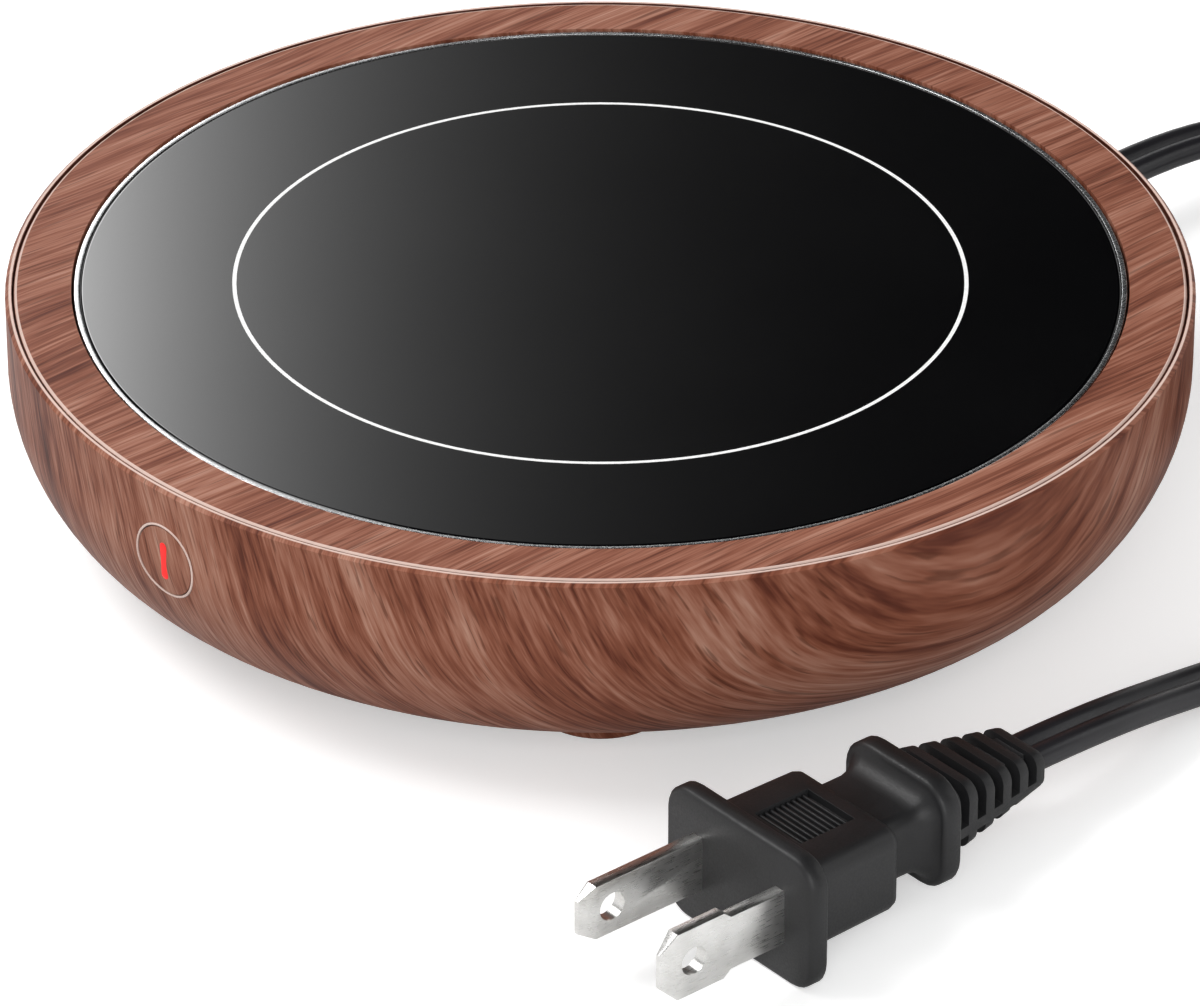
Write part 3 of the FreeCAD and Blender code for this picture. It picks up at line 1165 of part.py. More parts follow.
faults = [item.Name for item in doc.Objects if "Invalid" in item.State or "Error" in item.State]
for label, item in nodes.items():
    if item.Shape.isNull() or not item.Shape.isValid() or not item.Shape.Solids:
        faults.append(label)
if faults:
    raise RuntimeError("failed objects: " + ", ".join(faults))
os.makedirs("parts", exist_ok=True)
for label, item in nodes.items():
    item.Shape.exportStep("parts/%s.step" % label)
print("nodes", len(nodes))
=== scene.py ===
import json
import math

import bmesh
import bpy
from mathutils import Matrix, Vector


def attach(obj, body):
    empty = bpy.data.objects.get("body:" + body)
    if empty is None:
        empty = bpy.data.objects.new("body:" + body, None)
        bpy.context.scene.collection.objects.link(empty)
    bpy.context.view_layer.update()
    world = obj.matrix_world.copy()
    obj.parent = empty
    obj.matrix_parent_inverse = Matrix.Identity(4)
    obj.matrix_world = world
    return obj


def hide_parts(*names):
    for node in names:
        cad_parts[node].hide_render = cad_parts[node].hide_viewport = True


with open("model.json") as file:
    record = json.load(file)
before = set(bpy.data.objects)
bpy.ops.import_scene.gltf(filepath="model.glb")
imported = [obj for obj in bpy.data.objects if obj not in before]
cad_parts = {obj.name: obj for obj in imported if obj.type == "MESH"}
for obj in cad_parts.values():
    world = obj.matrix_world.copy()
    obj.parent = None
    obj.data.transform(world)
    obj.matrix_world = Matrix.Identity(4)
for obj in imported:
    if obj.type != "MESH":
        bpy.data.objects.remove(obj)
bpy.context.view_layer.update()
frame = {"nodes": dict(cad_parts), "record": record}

mm = 0.001
scene = bpy.context.scene
scene.view_settings.view_transform = "Standard"
print("frame loaded:", len(frame["nodes"]), "parts")

# camera and light

viewPoint = {
    "place": (0.5482, -0.5498, 0.4647),
    "turn": (59.035, 0.0, 44.92),
    "lens": 244.33,
}

camera = bpy.data.objects.new("viewPoint", bpy.data.cameras.new("viewPoint"))
camera.location = viewPoint["place"]
camera.rotation_euler = [math.radians(a) for a in viewPoint["turn"]]
camera.data.lens = viewPoint["lens"]
camera.data.sensor_width = 36
camera.data.clip_end = 20
scene.collection.objects.link(camera)
scene.camera = camera


def fromView(right, away, up):
    # right, away and up as the photograph shows them, turned to the frame's own axes
    a = math.radians(viewPoint["turn"][2])
    return Vector((math.cos(a) * right - math.sin(a) * away, math.sin(a) * right + math.cos(a) * away, up))


def linear(code):
    # an sRGB hex code as the linear colour that the nodes take
    parts = [int(code[i:i + 2], 16) / 255 for i in (1, 3, 5)]
    return tuple(c / 12.92 if c <= 0.04045 else ((c + 0.055) / 1.055) ** 2.4 for c in parts) + (1.0,)


def wire(tree, node, links):
    for key, source in links.items():
        tree.links.new(source, node.inputs[key])


def addNode(tree, kind, settings=None, links=None):
    # hex codes turn to linear colours, and "stops" fills a colour ramp
    node = tree.nodes.new("ShaderNode" + kind)
    for key, given in (settings or {}).items():
        if key == "stops":
            while len(node.color_ramp.elements) < len(given):
                node.color_ramp.elements.new(1.0)
            for stop, (spot, code) in zip(node.color_ramp.elements, given):
                stop.position, stop.color = spot, linear(code)
        elif isinstance(key, str) and hasattr(node, key):
            setattr(node, key, given)
        else:
            node.inputs[key].default_value = linear(given) if isinstance(given, str) else given
    wire(tree, node, links or {})
    return node


def newMaterial(name, settings):
    material = bpy.data.materials.new(name)
    material.use_nodes = True
    tree = material.node_tree
    tree.nodes.clear()
    shader = addNode(tree, "BsdfPrincipled", settings)
    addNode(tree, "OutputMaterial", {}, {"Surface": shader.outputs[0]})
    return material, tree, shader


softboxes = {      # right, away and up in metres, the square's side in metres, and the power
    "key": {"from": (-0.62, 0.10, 0.80), "size": 0.55, "watts": 6.3},
    "front": {"from": (0.10, -0.85, 0.42), "size": 0.60, "watts": 3.7},
    "side": {"from": (0.85, 0.15, 0.55), "size": 0.45, "watts": 0.9},
}
lampAim = Vector((0, 0, 0.02))      # the middle of the warmer, just above the table

for name, s in softboxes.items():
    lamp = bpy.data.objects.new(name + "Softbox", bpy.data.lights.new(name + "Softbox", "AREA"))
    lamp.data.shape = "SQUARE"
    lamp.data.size = s["size"]
    lamp.data.energy = s["watts"]
    lamp.location = fromView(*s["from"])
    lamp.rotation_euler = (lampAim - lamp.location).to_track_quat("-Z", "Y").to_euler()
    scene.collection.objects.link(lamp)

surround = {
    "dim": 0.42,                # what matt surfaces are lit by
    "wall": 0.95,               # the studio wall that glossy surfaces mirror
    "skyline": (0.24, 0.40),    # between these heights the wall fades to dark
}

world = bpy.data.worlds.new("studio")
world.use_nodes = True
scene.world = world
tree = world.node_tree
tree.nodes.clear()
rays = addNode(tree, "LightPath")
aim = addNode(tree, "TexCoord")
height = addNode(tree, "SeparateXYZ", {}, {0: aim.outputs["Generated"]})
wall = addNode(tree, "MapRange", {"From Min": surround["skyline"][0], "From Max": surround["skyline"][1],
                                  "To Min": surround["wall"], "To Max": 0.0},
               {"Value": height.outputs["Z"]})
lit = addNode(tree, "Mix", {2: surround["dim"]}, {0: rays.outputs["Is Glossy Ray"], 3: wall.outputs[0]})
clear = addNode(tree, "Math", {"operation": "MAXIMUM"},
                {0: rays.outputs["Is Camera Ray"], 1: rays.outputs["Is Transmission Ray"]})
strength = addNode(tree, "Mix", {3: 1.0}, {0: clear.outputs[0], 2: lit.outputs[0]})
backdrop = addNode(tree, "Background", {"Color": "#FFFFFF"}, {"Strength": strength.outputs[0]})
addNode(tree, "OutputWorld", {}, {"Surface": backdrop.outputs[0]})

floorPaper = {
    "size": 3.0, "tone": "#F2F2F2",
    "towardsMatt": "#B0B0B0",     # its tone as matt surfaces are lit by it, so that undersides stay deep
    "lift": 0.42,                 # added for the camera alone, so that the paper burns out to white
}

material, tree, shader = newMaterial("matt_studio_paper", {"Roughness": 0.9, "Emission Color": "#FFFFFF"})
rays = addNode(tree, "LightPath")
side = addNode(tree, "NewGeometry")
lift = addNode(tree, "Math", {"operation": "MULTIPLY", 1: floorPaper["lift"]},
               {0: rays.outputs["Is Camera Ray"]})
paper = addNode(tree, "Mix", {"data_type": "RGBA", 6: floorPaper["tone"], 7: floorPaper["towardsMatt"]},
                {0: rays.outputs["Is Diffuse Ray"]})
wire(tree, shader, {"Base Color": paper.outputs[2], "Emission Strength": lift.outputs[0]})
under = addNode(tree, "BsdfTransparent")      # seen from below, the paper is not there
both = addNode(tree, "MixShader", {},
               {0: side.outputs["Backfacing"], 1: shader.outputs[0], 2: under.outputs[0]})
wire(tree, tree.nodes["Material Output"], {"Surface": both.outputs[0]})


def plate(name, corners, material):
    mesh = bpy.data.meshes.new(name)
    mesh.from_pydata([tuple(c) for c in corners], [], [(0, 1, 2, 3)])
    mesh.materials.append(material)
    thing = bpy.data.objects.new(name, mesh)
    scene.collection.objects.link(thing)
    return thing


half = floorPaper["size"] / 2
plate("studioFloor", [(-half, -half, 0), (half, -half, 0), (half, half, 0), (-half, half, 0)], material)

# a graded light card that the glass top mirrors: pale at the far left, black towards the right
gradedCard = {
    "away": 0.60, "left": -0.16, "right": 0.12, "low": 0.28, "high": 0.46,      # where it stands, in metres
    "brightest": 6.8, "most": 1.15, "start": -0.114, "fall": 34.0,      # how its glow fades to the right
}

material, tree, shader = newMaterial("graded_light_card", {"Base Color": "#000000", "Roughness": 1.0,
                                                           "Emission Color": "#FFFFFF"})
where = addNode(tree, "TexCoord")
across = addNode(tree, "SeparateXYZ", {}, {0: where.outputs["Object"]})
steps = addNode(tree, "Math", {"operation": "MULTIPLY_ADD", 1: -gradedCard["fall"],
                               2: gradedCard["fall"] * gradedCard["start"]}, {0: across.outputs["X"]})
fade = addNode(tree, "Math", {"operation": "EXPONENT"}, {0: steps.outputs[0]})
level = addNode(tree, "Math", {"operation": "MINIMUM", 1: gradedCard["most"]}, {0: fade.outputs[0]})
strength = addNode(tree, "Math", {"operation": "MULTIPLY", 1: gradedCard["brightest"]},
                   {0: level.outputs[0]})
wire(tree, shader, {"Emission Strength": strength.outputs[0]})
corners = (("left", "low"), ("right", "low"), ("right", "high"), ("left", "high"))
card = plate("gradedCard", [(gradedCard[x], gradedCard[y], 0) for x, y in corners], material)
card.location = fromView(0, gradedCard["away"], 0)
card.rotation_euler = (math.pi / 2, 0, math.radians(viewPoint["turn"][2]))
for kind in ("camera", "diffuse", "transmission", "volume_scatter", "shadow"):
    setattr(card, "visible_" + kind, False)
print("camera, light and floor set")

# finishes


def objectPlace(tree, turn=(0, 0, 0), stretch=(1, 1, 1)):
    # the frame's own axes, drawn out along one of them for grain or brushing
    place = addNode(tree, "TexCoord")
    return addNode(tree, "Mapping", {"vector_type": "TEXTURE", "Rotation": [math.radians(a) for a in turn],
                                     "Scale": stretch}, {"Vector": place.outputs["Object"]}).outputs[0]


waveTurn = 0.314      # a wave pattern repeats after this many of its own units

walnut = {
    "turn": (0, -17, -4),     # the grain planes lean, so streaks run down the side at a slant
    "drawn": (1, 34, 15),     # how much longer a fibre is along the log and up it than across
    "figure": 12.0, "streak": 1.5, "fibre": 0.38, "pore": 0.30,     # widths in mm
    "ring": 9.0,              # mm from one year's line to the next
    "swirl": 9.0, "swirlSize": 62.0,     # how far the grain bends, and over what length, in mm
    "side": (0.85, 0.14, 0.80, 0.90),    # how much figure, year lines, streaks and fibres each show
    "top": (0.55, 0.08, 0.65, 0.95),
    "stops": [(0.0, "#3E1A12"), (0.25, "#653425"), (0.44, "#864F3B"), (0.60, "#9C6652"),
              (0.78, "#B07F6B"), (1.0, "#C49B88")],
    "poreTint": "#47200F", "poreDepth": 0.5, "poreCut": (0.31, 0.40),
    "rough": (0.50, 0.38), "relief": 0.02,      # from open grain to smooth, and its depth in mm
    # painted highlight: the pale tint laid along the seam's rounded edges, where light catches them
    "highlightTint": "#EBD0C4", "gap": "#3A170F",
    "seam": (63.5, 65.5), "seamTop": (27.5, 27.75),      # where the seam lies, out and up in mm
    "seamShow": 0.85,
    # as shares of the way across the seam: painted highlight on a rounded edge, dark joint, painted highlight on
    # a rounded edge
    "highlightLines": [(0.08, "#000000"), (0.12, "#FFFFFF"), (0.22, "#FFFFFF"), (0.25, "#000000"),
               (0.40, "#000000"), (0.43, "#FFFFFF"), (0.53, "#FFFFFF"), (0.58, "#000000")],
    "joint": [(0.25, "#000000"), (0.27, "#FFFFFF"), (0.39, "#FFFFFF"), (0.41, "#000000")],
}


def walnutFilm(name, weights, pale=0.0):
    # Walnut-print film pulled over moulded ABS: slanting grain under a flatted lacquer with little shine,
    # and a painted highlight along the rounded edges at the top seam
    s = walnut
    material, tree, shader = newMaterial(name, {"IOR": 1.49, "Specular IOR Level": 0.15})
    place = objectPlace(tree)
    grain = objectPlace(tree, s["turn"], s["drawn"])
    bend = addNode(tree, "TexNoise", {"Scale": 1 / (s["swirlSize"] * mm), "Detail": 1.0}, {"Vector": place})
    swirled = addNode(tree, "VectorMath", {"operation": "MULTIPLY_ADD", 1: (s["swirl"] * mm, 0, 0)},
                      {0: bend.outputs["Color"], 2: grain}).outputs[0]
    figure = addNode(tree, "TexNoise", {"Scale": 1 / (s["figure"] * mm), "Detail": 2.0},
                     {"Vector": swirled})
    years = addNode(tree, "TexWave", {"wave_profile": "SIN", "Scale": waveTurn / (s["ring"] * mm),
                                      "Distortion": 3.0, "Detail": 2.0, "Detail Scale": 0.7},
                    {"Vector": swirled})
    streak = addNode(tree, "TexNoise", {"Scale": 1 / (s["streak"] * mm), "Detail": 2.0},
                     {"Vector": swirled})
    fibre = addNode(tree, "TexNoise", {"Scale": 1 / (s["fibre"] * mm), "Detail": 2.0, "Roughness": 0.6},
                    {"Vector": swirled})
    # every pattern's middle is 0.5, so the sum is brought back to the middle of the colours
    # pale shifts the whole tone lighter or darker; the feet use it for painted shade
    middle = 0.5 + pale - sum(weights) / 2
    tone = addNode(tree, "Math", {"operation": "MULTIPLY_ADD", 1: weights[0], 2: middle},
                   {0: figure.outputs[0]})
    for weight, source in zip(weights[1:], (years, streak, fibre)):
        tone = addNode(tree, "Math", {"operation": "MULTIPLY_ADD", 1: weight},
                       {0: source.outputs[0], 2: tone.outputs[0]})
    colour = addNode(tree, "ValToRGB", {"stops": s["stops"]}, {0: tone.outputs[0]})
    pores = addNode(tree, "TexNoise", {"Scale": 1 / (s["pore"] * mm), "Detail": 1.0}, {"Vector": swirled})
    opened = addNode(tree, "MapRange", {"From Min": s["poreCut"][0], "From Max": s["poreCut"][1],
                                        "To Min": s["poreDepth"], "To Max": 0.0},
                     {"Value": pores.outputs[0]})
    pored = addNode(tree, "Mix", {"data_type": "RGBA", 7: s["poreTint"]},
                    {0: opened.outputs[0], 6: colour.outputs[0]})
    # the seam's painted highlights on its rounded edges and its dark joint, told by the distance from the middle
    # and the height
    above = addNode(tree, "SeparateXYZ", {}, {0: place})
    flat = addNode(tree, "VectorMath", {"operation": "MULTIPLY", 1: (1, 1, 0)}, {0: place})
    reach = addNode(tree, "VectorMath", {"operation": "LENGTH"}, {0: flat.outputs[0]})
    across = addNode(tree, "MapRange", {"From Min": s["seam"][0] * mm, "From Max": s["seam"][1] * mm},
                     {"Value": reach.outputs["Value"]})
    upper = addNode(tree, "MapRange", {"From Min": s["seamTop"][0] * mm, "From Max": s["seamTop"][1] * mm,
                                       "To Max": s["seamShow"]}, {"Value": above.outputs["Z"]})
    # the pale bands are painted highlight, the dark band is the joint itself
    for ramp, paint in (("highlightLines", "highlightTint"), ("joint", "gap")):
        band = addNode(tree, "ValToRGB", {"stops": s[ramp]}, {0: across.outputs[0]})
        part = addNode(tree, "Math", {"operation": "MULTIPLY"}, {0: band.outputs[0], 1: upper.outputs[0]})
        pored = addNode(tree, "Mix", {"data_type": "RGBA", 7: s[paint]},
                        {0: part.outputs[0], 6: pored.outputs[2]})
    rough = addNode(tree, "MapRange", {"From Min": 0.2, "From Max": 0.8, "To Min": s["rough"][0],
                                       "To Max": s["rough"][1]}, {"Value": fibre.outputs[0]})
    relief = addNode(tree, "Bump", {"Strength": 0.3, "Distance": s["relief"] * mm},
                     {"Height": fibre.outputs[0]})
    wire(tree, shader, {"Base Color": pored.outputs[2], "Roughness": rough.outputs[0],
                        "Normal": relief.outputs[0]})
    return material


moulding = {"cloud": 6.0, "spread": 0.07, "relief": 0.02}      # mm, roughness either way, mm


def mouldedPlastic(name, s):
    # Moulded plastic: one even colour with a faint cloudiness,
    # and a fine eroded grain that breaks up the gloss
    material, tree, shader = newMaterial(name, {"IOR": 1.5})
    place = objectPlace(tree)
    cloud = addNode(tree, "TexNoise", {"Scale": 1 / (moulding["cloud"] * mm), "Detail": 3.0},
                    {"Vector": place})
    colour = addNode(tree, "ValToRGB", {"stops": [(0.3, s["colour"]), (0.7, s["paler"])]},
                     {0: cloud.outputs[0]})
    grit = addNode(tree, "TexNoise", {"Scale": 1 / (s["grain"] * mm), "Detail": 2.0}, {"Vector": place})
    rough = addNode(tree, "MapRange", {"From Min": 0.3, "From Max": 0.7,
                                       "To Min": s["rough"] - moulding["spread"],
                                       "To Max": s["rough"] + moulding["spread"]},
                    {"Value": grit.outputs[0]})
    relief = addNode(tree, "Bump", {"Strength": s.get("bump", 0.3), "Distance": moulding["relief"] * mm},
                     {"Height": grit.outputs[0]})
    wire(tree, shader, {"Base Color": colour.outputs[0], "Roughness": rough.outputs[0],
                        "Normal": relief.outputs[0]})
    return material


working = {"cloud": 4.0, "below": 0.05, "above": 0.06, "relief": 0.01}      # mm, roughness down and up, mm


def workedMetal(name, s):
    # Bare or plated metal: the tool's fine lines run one way and spread the highlight across them
    material, tree, shader = newMaterial(name, {"Metallic": 1.0})
    lines = objectPlace(tree, (0, 0, s.get("turn", 0)), s.get("stretch", (1, 1, 1)))
    brushed = addNode(tree, "TexNoise", {"Scale": 1 / (s["line"] * mm), "Detail": 2.0}, {"Vector": lines})
    cloud = addNode(tree, "TexNoise", {"Scale": 1 / (working["cloud"] * mm), "Detail": 2.0},
                    {"Vector": objectPlace(tree)})
    mottle = addNode(tree, "Math", {"operation": "MULTIPLY_ADD", 1: 0.5},
                     {0: brushed.outputs[0], 2: cloud.outputs[0]})
    colour = addNode(tree, "ValToRGB", {"stops": [(0.5, s["colour"]), (1.0, s["paler"])]},
                     {0: mottle.outputs[0]})
    rough = addNode(tree, "MapRange", {"From Min": 0.3, "From Max": 0.7,
                                       "To Min": s["rough"] - working["below"],
                                       "To Max": s["rough"] + working["above"]},
                    {"Value": brushed.outputs[0]})
    relief = addNode(tree, "Bump", {"Strength": 0.15, "Distance": working["relief"] * mm},
                     {"Height": brushed.outputs[0]})
    wire(tree, shader, {"Base Color": colour.outputs[0], "Roughness": rough.outputs[0],
                        "Normal": relief.outputs[0]})
    return material


def temperedGlass(name):
    # Back-printed tempered glass: jet black and mirror flat, with the least waviness in the mirror image
    material, tree, shader = newMaterial(name, {"IOR": 1.52})
    place = objectPlace(tree)
    haze = addNode(tree, "TexNoise", {"Scale": 1 / (24 * mm), "Detail": 3.0}, {"Vector": place})
    rough = addNode(tree, "MapRange", {"From Min": 0.3, "From Max": 0.7, "To Min": 0.05, "To Max": 0.085},
                    {"Value": haze.outputs[0]})
    ink = addNode(tree, "ValToRGB", {"stops": [(0.2, "#020203"), (0.8, "#060607")]}, {0: haze.outputs[0]})
    wire(tree, shader, {"Base Color": ink.outputs[0], "Roughness": rough.outputs[0]})
    return material


def firedInk(name):
    # Screen-printed ceramic ink: a flat opaque white, very slightly granular where it was fired
    material, tree, shader = newMaterial(name, {"IOR": 1.5})
    grain = addNode(tree, "TexNoise", {"Scale": 1 / (0.5 * mm), "Detail": 2.0},
                    {"Vector": objectPlace(tree)})
    ink = addNode(tree, "ValToRGB", {"stops": [(0.2, "#EDEDEB"), (0.6, "#FFFFFF")]}, {0: grain.outputs[0]})
    rough = addNode(tree, "MapRange", {"To Min": 0.35, "To Max": 0.6}, {"Value": grain.outputs[0]})
    wire(tree, shader, {"Base Color": ink.outputs[0], "Roughness": rough.outputs[0]})
    return material


def litAcrylic(name):
    # Red diffusing acrylic with a lamp behind it: glows evenly, a little hotter along the middle
    material, tree, shader = newMaterial(name, {"IOR": 1.49, "Emission Strength": 1.0, "Roughness": 0.4})
    place = addNode(tree, "SeparateXYZ", {}, {0: objectPlace(tree)})
    off = addNode(tree, "Math", {"operation": "ABSOLUTE"}, {0: place.outputs["X"]})
    glow = addNode(tree, "MapRange", {"From Min": 0.1 * mm, "From Max": 0.4 * mm},
                   {"Value": off.outputs[0]})
    colour = addNode(tree, "ValToRGB", {"stops": [(0.0, "#FF0600"), (1.0, "#EC0000")]},
                     {0: glow.outputs[0]})
    body = addNode(tree, "ValToRGB", {"stops": [(0.0, "#7A0503"), (1.0, "#5E0202")]}, {0: glow.outputs[0]})
    wire(tree, shader, {"Base Color": body.outputs[0], "Emission Color": colour.outputs[0]})
    return material


def etchedBoard(name):
    # Glass-epoxy circuit board: green solder mask, paler where copper tracks run beneath it
    material, tree, shader = newMaterial(name, {"IOR": 1.55})
    place = objectPlace(tree)
    tracks = addNode(tree, "TexVoronoi", {"distance": "CHEBYCHEV", "feature": "F2",
                                          "Scale": 1 / (4.2 * mm)}, {"Vector": place})
    edges = addNode(tree, "Math", {"operation": "PINGPONG", 1: 0.12}, {0: tracks.outputs["Distance"]})
    colour = addNode(tree, "ValToRGB", {"stops": [(0.0, "#123F25"), (0.06, "#174A2B"), (0.075, "#2E6E42")]},
                     {0: edges.outputs[0]})
    relief = addNode(tree, "Bump", {"Strength": 0.3, "Distance": 0.04 * mm}, {"Height": edges.outputs[0]})
    rough = addNode(tree, "MapRange", {"From Max": 0.12, "To Min": 0.32, "To Max": 0.42},
                    {"Value": edges.outputs[0]})
    wire(tree, shader, {"Base Color": colour.outputs[0], "Roughness": rough.outputs[0],
                        "Normal": relief.outputs[0]})
    return material


def etchedFoil(name):
    # Etched nickel heating foil under clear film: bright ring tracks with dark gaps, 3 mm apart
    material, tree, shader = newMaterial(name, {"Metallic": 0.7, "Coat Weight": 0.4})
    rings = addNode(tree, "TexWave", {"wave_type": "RINGS", "rings_direction": "Z",
                                      "Scale": waveTurn / (3.0 * mm), "Distortion": 0.3},
                    {"Vector": objectPlace(tree)})
    colour = addNode(tree, "ValToRGB", {"stops": [(0.30, "#7A4A1E"), (0.36, "#B9B2A6"), (0.9, "#CFCAC0")]},
                     {0: rings.outputs[0]})
    rough = addNode(tree, "MapRange", {"To Min": 0.55, "To Max": 0.3}, {"Value": rings.outputs[0]})
    wire(tree, shader, {"Base Color": colour.outputs[0], "Roughness": rough.outputs[0]})
    return material


def needledFelt(name):
    # Needled glass-fibre felt: a soft grey mat of crossing fibres with no shine
    material, tree, shader = newMaterial(name, {"Roughness": 0.95, "Sheen Weight": 0.2})
    fuzz = addNode(tree, "TexNoise", {"Scale": 1 / (0.5 * mm), "Detail": 5.0, "Distortion": 1.5},
                   {"Vector": objectPlace(tree)})
    colour = addNode(tree, "ValToRGB", {"stops": [(0.3, "#57564F"), (0.7, "#A19F97")]},
                     {0: fuzz.outputs[0]})
    relief = addNode(tree, "Bump", {"Strength": 0.8, "Distance": 0.2 * mm}, {"Height": fuzz.outputs[0]})
    wire(tree, shader, {"Base Color": colour.outputs[0], "Normal": relief.outputs[0]})
    return material


def fuseTube(name):
    # Drawn soda glass: clear, thin-walled, with a faint green cast at the ends
    material, tree, shader = newMaterial(name, {"IOR": 1.51, "Transmission Weight": 0.85})
    lines = objectPlace(tree, (0, 0, 0), (8, 1, 1))
    draw = addNode(tree, "TexNoise", {"Scale": 1 / (1.2 * mm)}, {"Vector": lines})
    tint = addNode(tree, "ValToRGB", {"stops": [(0.3, "#DCE8E0"), (0.7, "#F6FAF7")]}, {0: draw.outputs[0]})
    rough = addNode(tree, "MapRange", {"To Min": 0.03, "To Max": 0.1}, {"Value": draw.outputs[0]})
    wire(tree, shader, {"Base Color": tint.outputs[0], "Roughness": rough.outputs[0]})
    return material


finishes = {
    "wood_film_shell": walnutFilm("walnut_film_side", walnut["side"]),
    "wood_film_ring": walnutFilm("walnut_film_top", walnut["top"]),
    # the feet are painted a little darker than the shell: painted shade under the bowl
    "foot_wood": walnutFilm("walnut_film_feet", walnut["side"], -0.05),
    "button_plastic": walnutFilm("walnut_film_button", walnut["side"]),
    "black_glass": temperedGlass("tempered_black_glass"),
    "aluminium_pan": workedMetal("spun_aluminium",
                                 {"colour": "#B9BABB", "paler": "#DDDEDF", "line": 0.3, "rough": 0.24}),
    "heater_foil": etchedFoil("etched_heating_foil"),
    "grey_felt": needledFelt("needled_glass_felt"),
    "carrier_black": mouldedPlastic("glass_filled_nylon",
                                    {"colour": "#1B1C1E", "paler": "#26272A", "grain": 0.35, "rough": 0.5}),
    "steel": workedMetal("zinc_plated_steel",
                         {"colour": "#A9ACAE", "paler": "#CDD0D1", "line": 0.25, "rough": 0.33}),
    "spring_steel": workedMetal("drawn_spring_steel",
                                {"colour": "#8B8E92", "paler": "#B4B7BA", "line": 0.15, "rough": 0.28}),
    "circuit_board": etchedBoard("glass_epoxy_board"),
    "part_yellow": mouldedPlastic("epoxy_dipped_film",
                                  {"colour": "#C9A227", "paler": "#D9B63C", "grain": 0.5, "rough": 0.35}),
    "part_black": mouldedPlastic("moulded_epoxy",
                                 {"colour": "#17181A", "paler": "#222427", "grain": 0.2, "rough": 0.55}),
    "part_white": mouldedPlastic("white_nylon",
                                 {"colour": "#DAD9D2", "paler": "#EBEAE4", "grain": 0.4, "rough": 0.45}),
    "part_green": mouldedPlastic("green_polyamide",
                                 {"colour": "#2D7A4B", "paler": "#3A8E5A", "grain": 0.4, "rough": 0.42}),
    "fuse_glass": fuseTube("drawn_soda_glass"),
    # the trim ring's pale colour is painted highlight, standing for light caught on the button seam's edges
    "button_ring_print": mouldedPlastic("pale_trim_painted_highlight",
                                        {"colour": "#D9B9AC", "paler": "#EBD3C8", "grain": 0.2, "rough": 0.3}),
    "lamp_red": litAcrylic("lit_red_acrylic"),
    "foot_rubber": mouldedPlastic("silicone_rubber",
                                  {"colour": "#2A2A2B", "paler": "#343435", "grain": 0.3, "rough": 0.7}),
    "cord_pvc": mouldedPlastic("extruded_cord_vinyl",
                               {"colour": "#18171B", "paler": "#222125", "grain": 0.25, "rough": 0.36,
                                "bump": 0.2}),
    "plug_pvc": mouldedPlastic("moulded_plug_vinyl",
                               {"colour": "#131314", "paler": "#1C1C1E", "grain": 0.22, "rough": 0.5,
                                "bump": 0.45}),
    "plug_brass": workedMetal("nickel_plated_brass",
                              {"colour": "#DDDCD9", "paler": "#F6F5F3", "line": 0.12, "rough": 0.30,
                               "turn": -5.2, "stretch": (1, 14, 1)}),
    "tie_plastic": mouldedPlastic("natural_nylon_tie",
                                  {"colour": "#1F1F20", "paler": "#2B2B2C", "grain": 0.3, "rough": 0.42}),
    "lead_white": mouldedPlastic("silicone_lead_sleeve",
                                 {"colour": "#D8D7D2", "paler": "#E9E8E4", "grain": 0.3, "rough": 0.55}),
    "ring_ink": firedInk("fired_white_ink"),
}

slotOf = {row["node"]: row["material_slot"] for row in frame["record"]["subparts"]}
for node, thing in frame["nodes"].items():
    if not thing.material_slots:
        thing.data.materials.append(finishes[slotOf[node]])
    for holder in thing.material_slots:
        holder.material = finishes[slotOf[node]]
print("finishes made:", len(finishes))

# shared ways of shaping


def closedMesh(name, verts, faces):
    mesh = bpy.data.meshes.new(name)
    mesh.from_pydata([tuple(v) for v in verts], [], faces)
    shaped = bmesh.new()
    shaped.from_mesh(mesh)
    bmesh.ops.recalc_face_normals(shaped, faces=shaped.faces)
    shaped.to_mesh(mesh)
    shaped.free()
    return mesh


def smoothMesh(mesh, sharp):
    # smooth all over, with an edge kept sharp where it turns by more than this many degrees
    mesh.shade_smooth()
    mesh.set_sharp_from_angle(angle=math.radians(sharp))


def addPiece(name, verts, faces, finish, body, sharp=35):
    mesh = closedMesh(name, verts, faces)
    smoothMesh(mesh, sharp)
    mesh.materials.append(finishes[finish])
    thing = bpy.data.objects.new(name, mesh)
    scene.collection.objects.link(thing)
    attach(thing, body)
    return thing


def joinRings(rings, closed=False):
    # faces between rings of the same count, each ring a list of vertex numbers
    faces = []
    pairs = list(zip(rings, rings[1:])) + ([(rings[-1], rings[0])] if closed else [])
    for a, b in pairs:
        count = max(len(a), len(b))
        for k in range(count):
            n = (k + 1) % count
            if len(a) == 1:
                faces.append((a[0], b[k], b[n]))
            elif len(b) == 1:
                faces.append((a[k], b[0], a[n]))
            else:
                faces.append((a[k], b[k], b[n], a[n]))
    return faces


def loftMesh(sections, closed=False):
    # a skin over sections of the same count, capped at both ends or closed into a loop
    verts, rings = [], []
    for section in sections:
        rings.append(list(range(len(verts), len(verts) + len(section))))
        verts += section
    faces = joinRings(rings, closed)
    if not closed:
        faces += [tuple(reversed(rings[0])), tuple(rings[-1])]
    return verts, faces


def applied(thing, sharp=35):
    # the object's modifiers made part of its mesh
    graph = bpy.context.evaluated_depsgraph_get()
    made = bpy.data.meshes.new_from_object(thing.evaluated_get(graph))
    thing.modifiers.clear()
    thing.data = made
    smoothMesh(made, sharp)


def cutAway(thing, verts, faces, sharp=35):
    # one mesh of separate closed blocks, taken out of the piece
    tool = bpy.data.objects.new("cutter", closedMesh("cutter", verts, faces))
    scene.collection.objects.link(tool)
    tool.matrix_world = thing.matrix_world.copy()
    away = thing.modifiers.new("cut", "BOOLEAN")
    away.operation, away.solver, away.object = "DIFFERENCE", "EXACT", tool
    bpy.context.view_layer.update()
    applied(thing, sharp)
    bpy.data.objects.remove(tool)


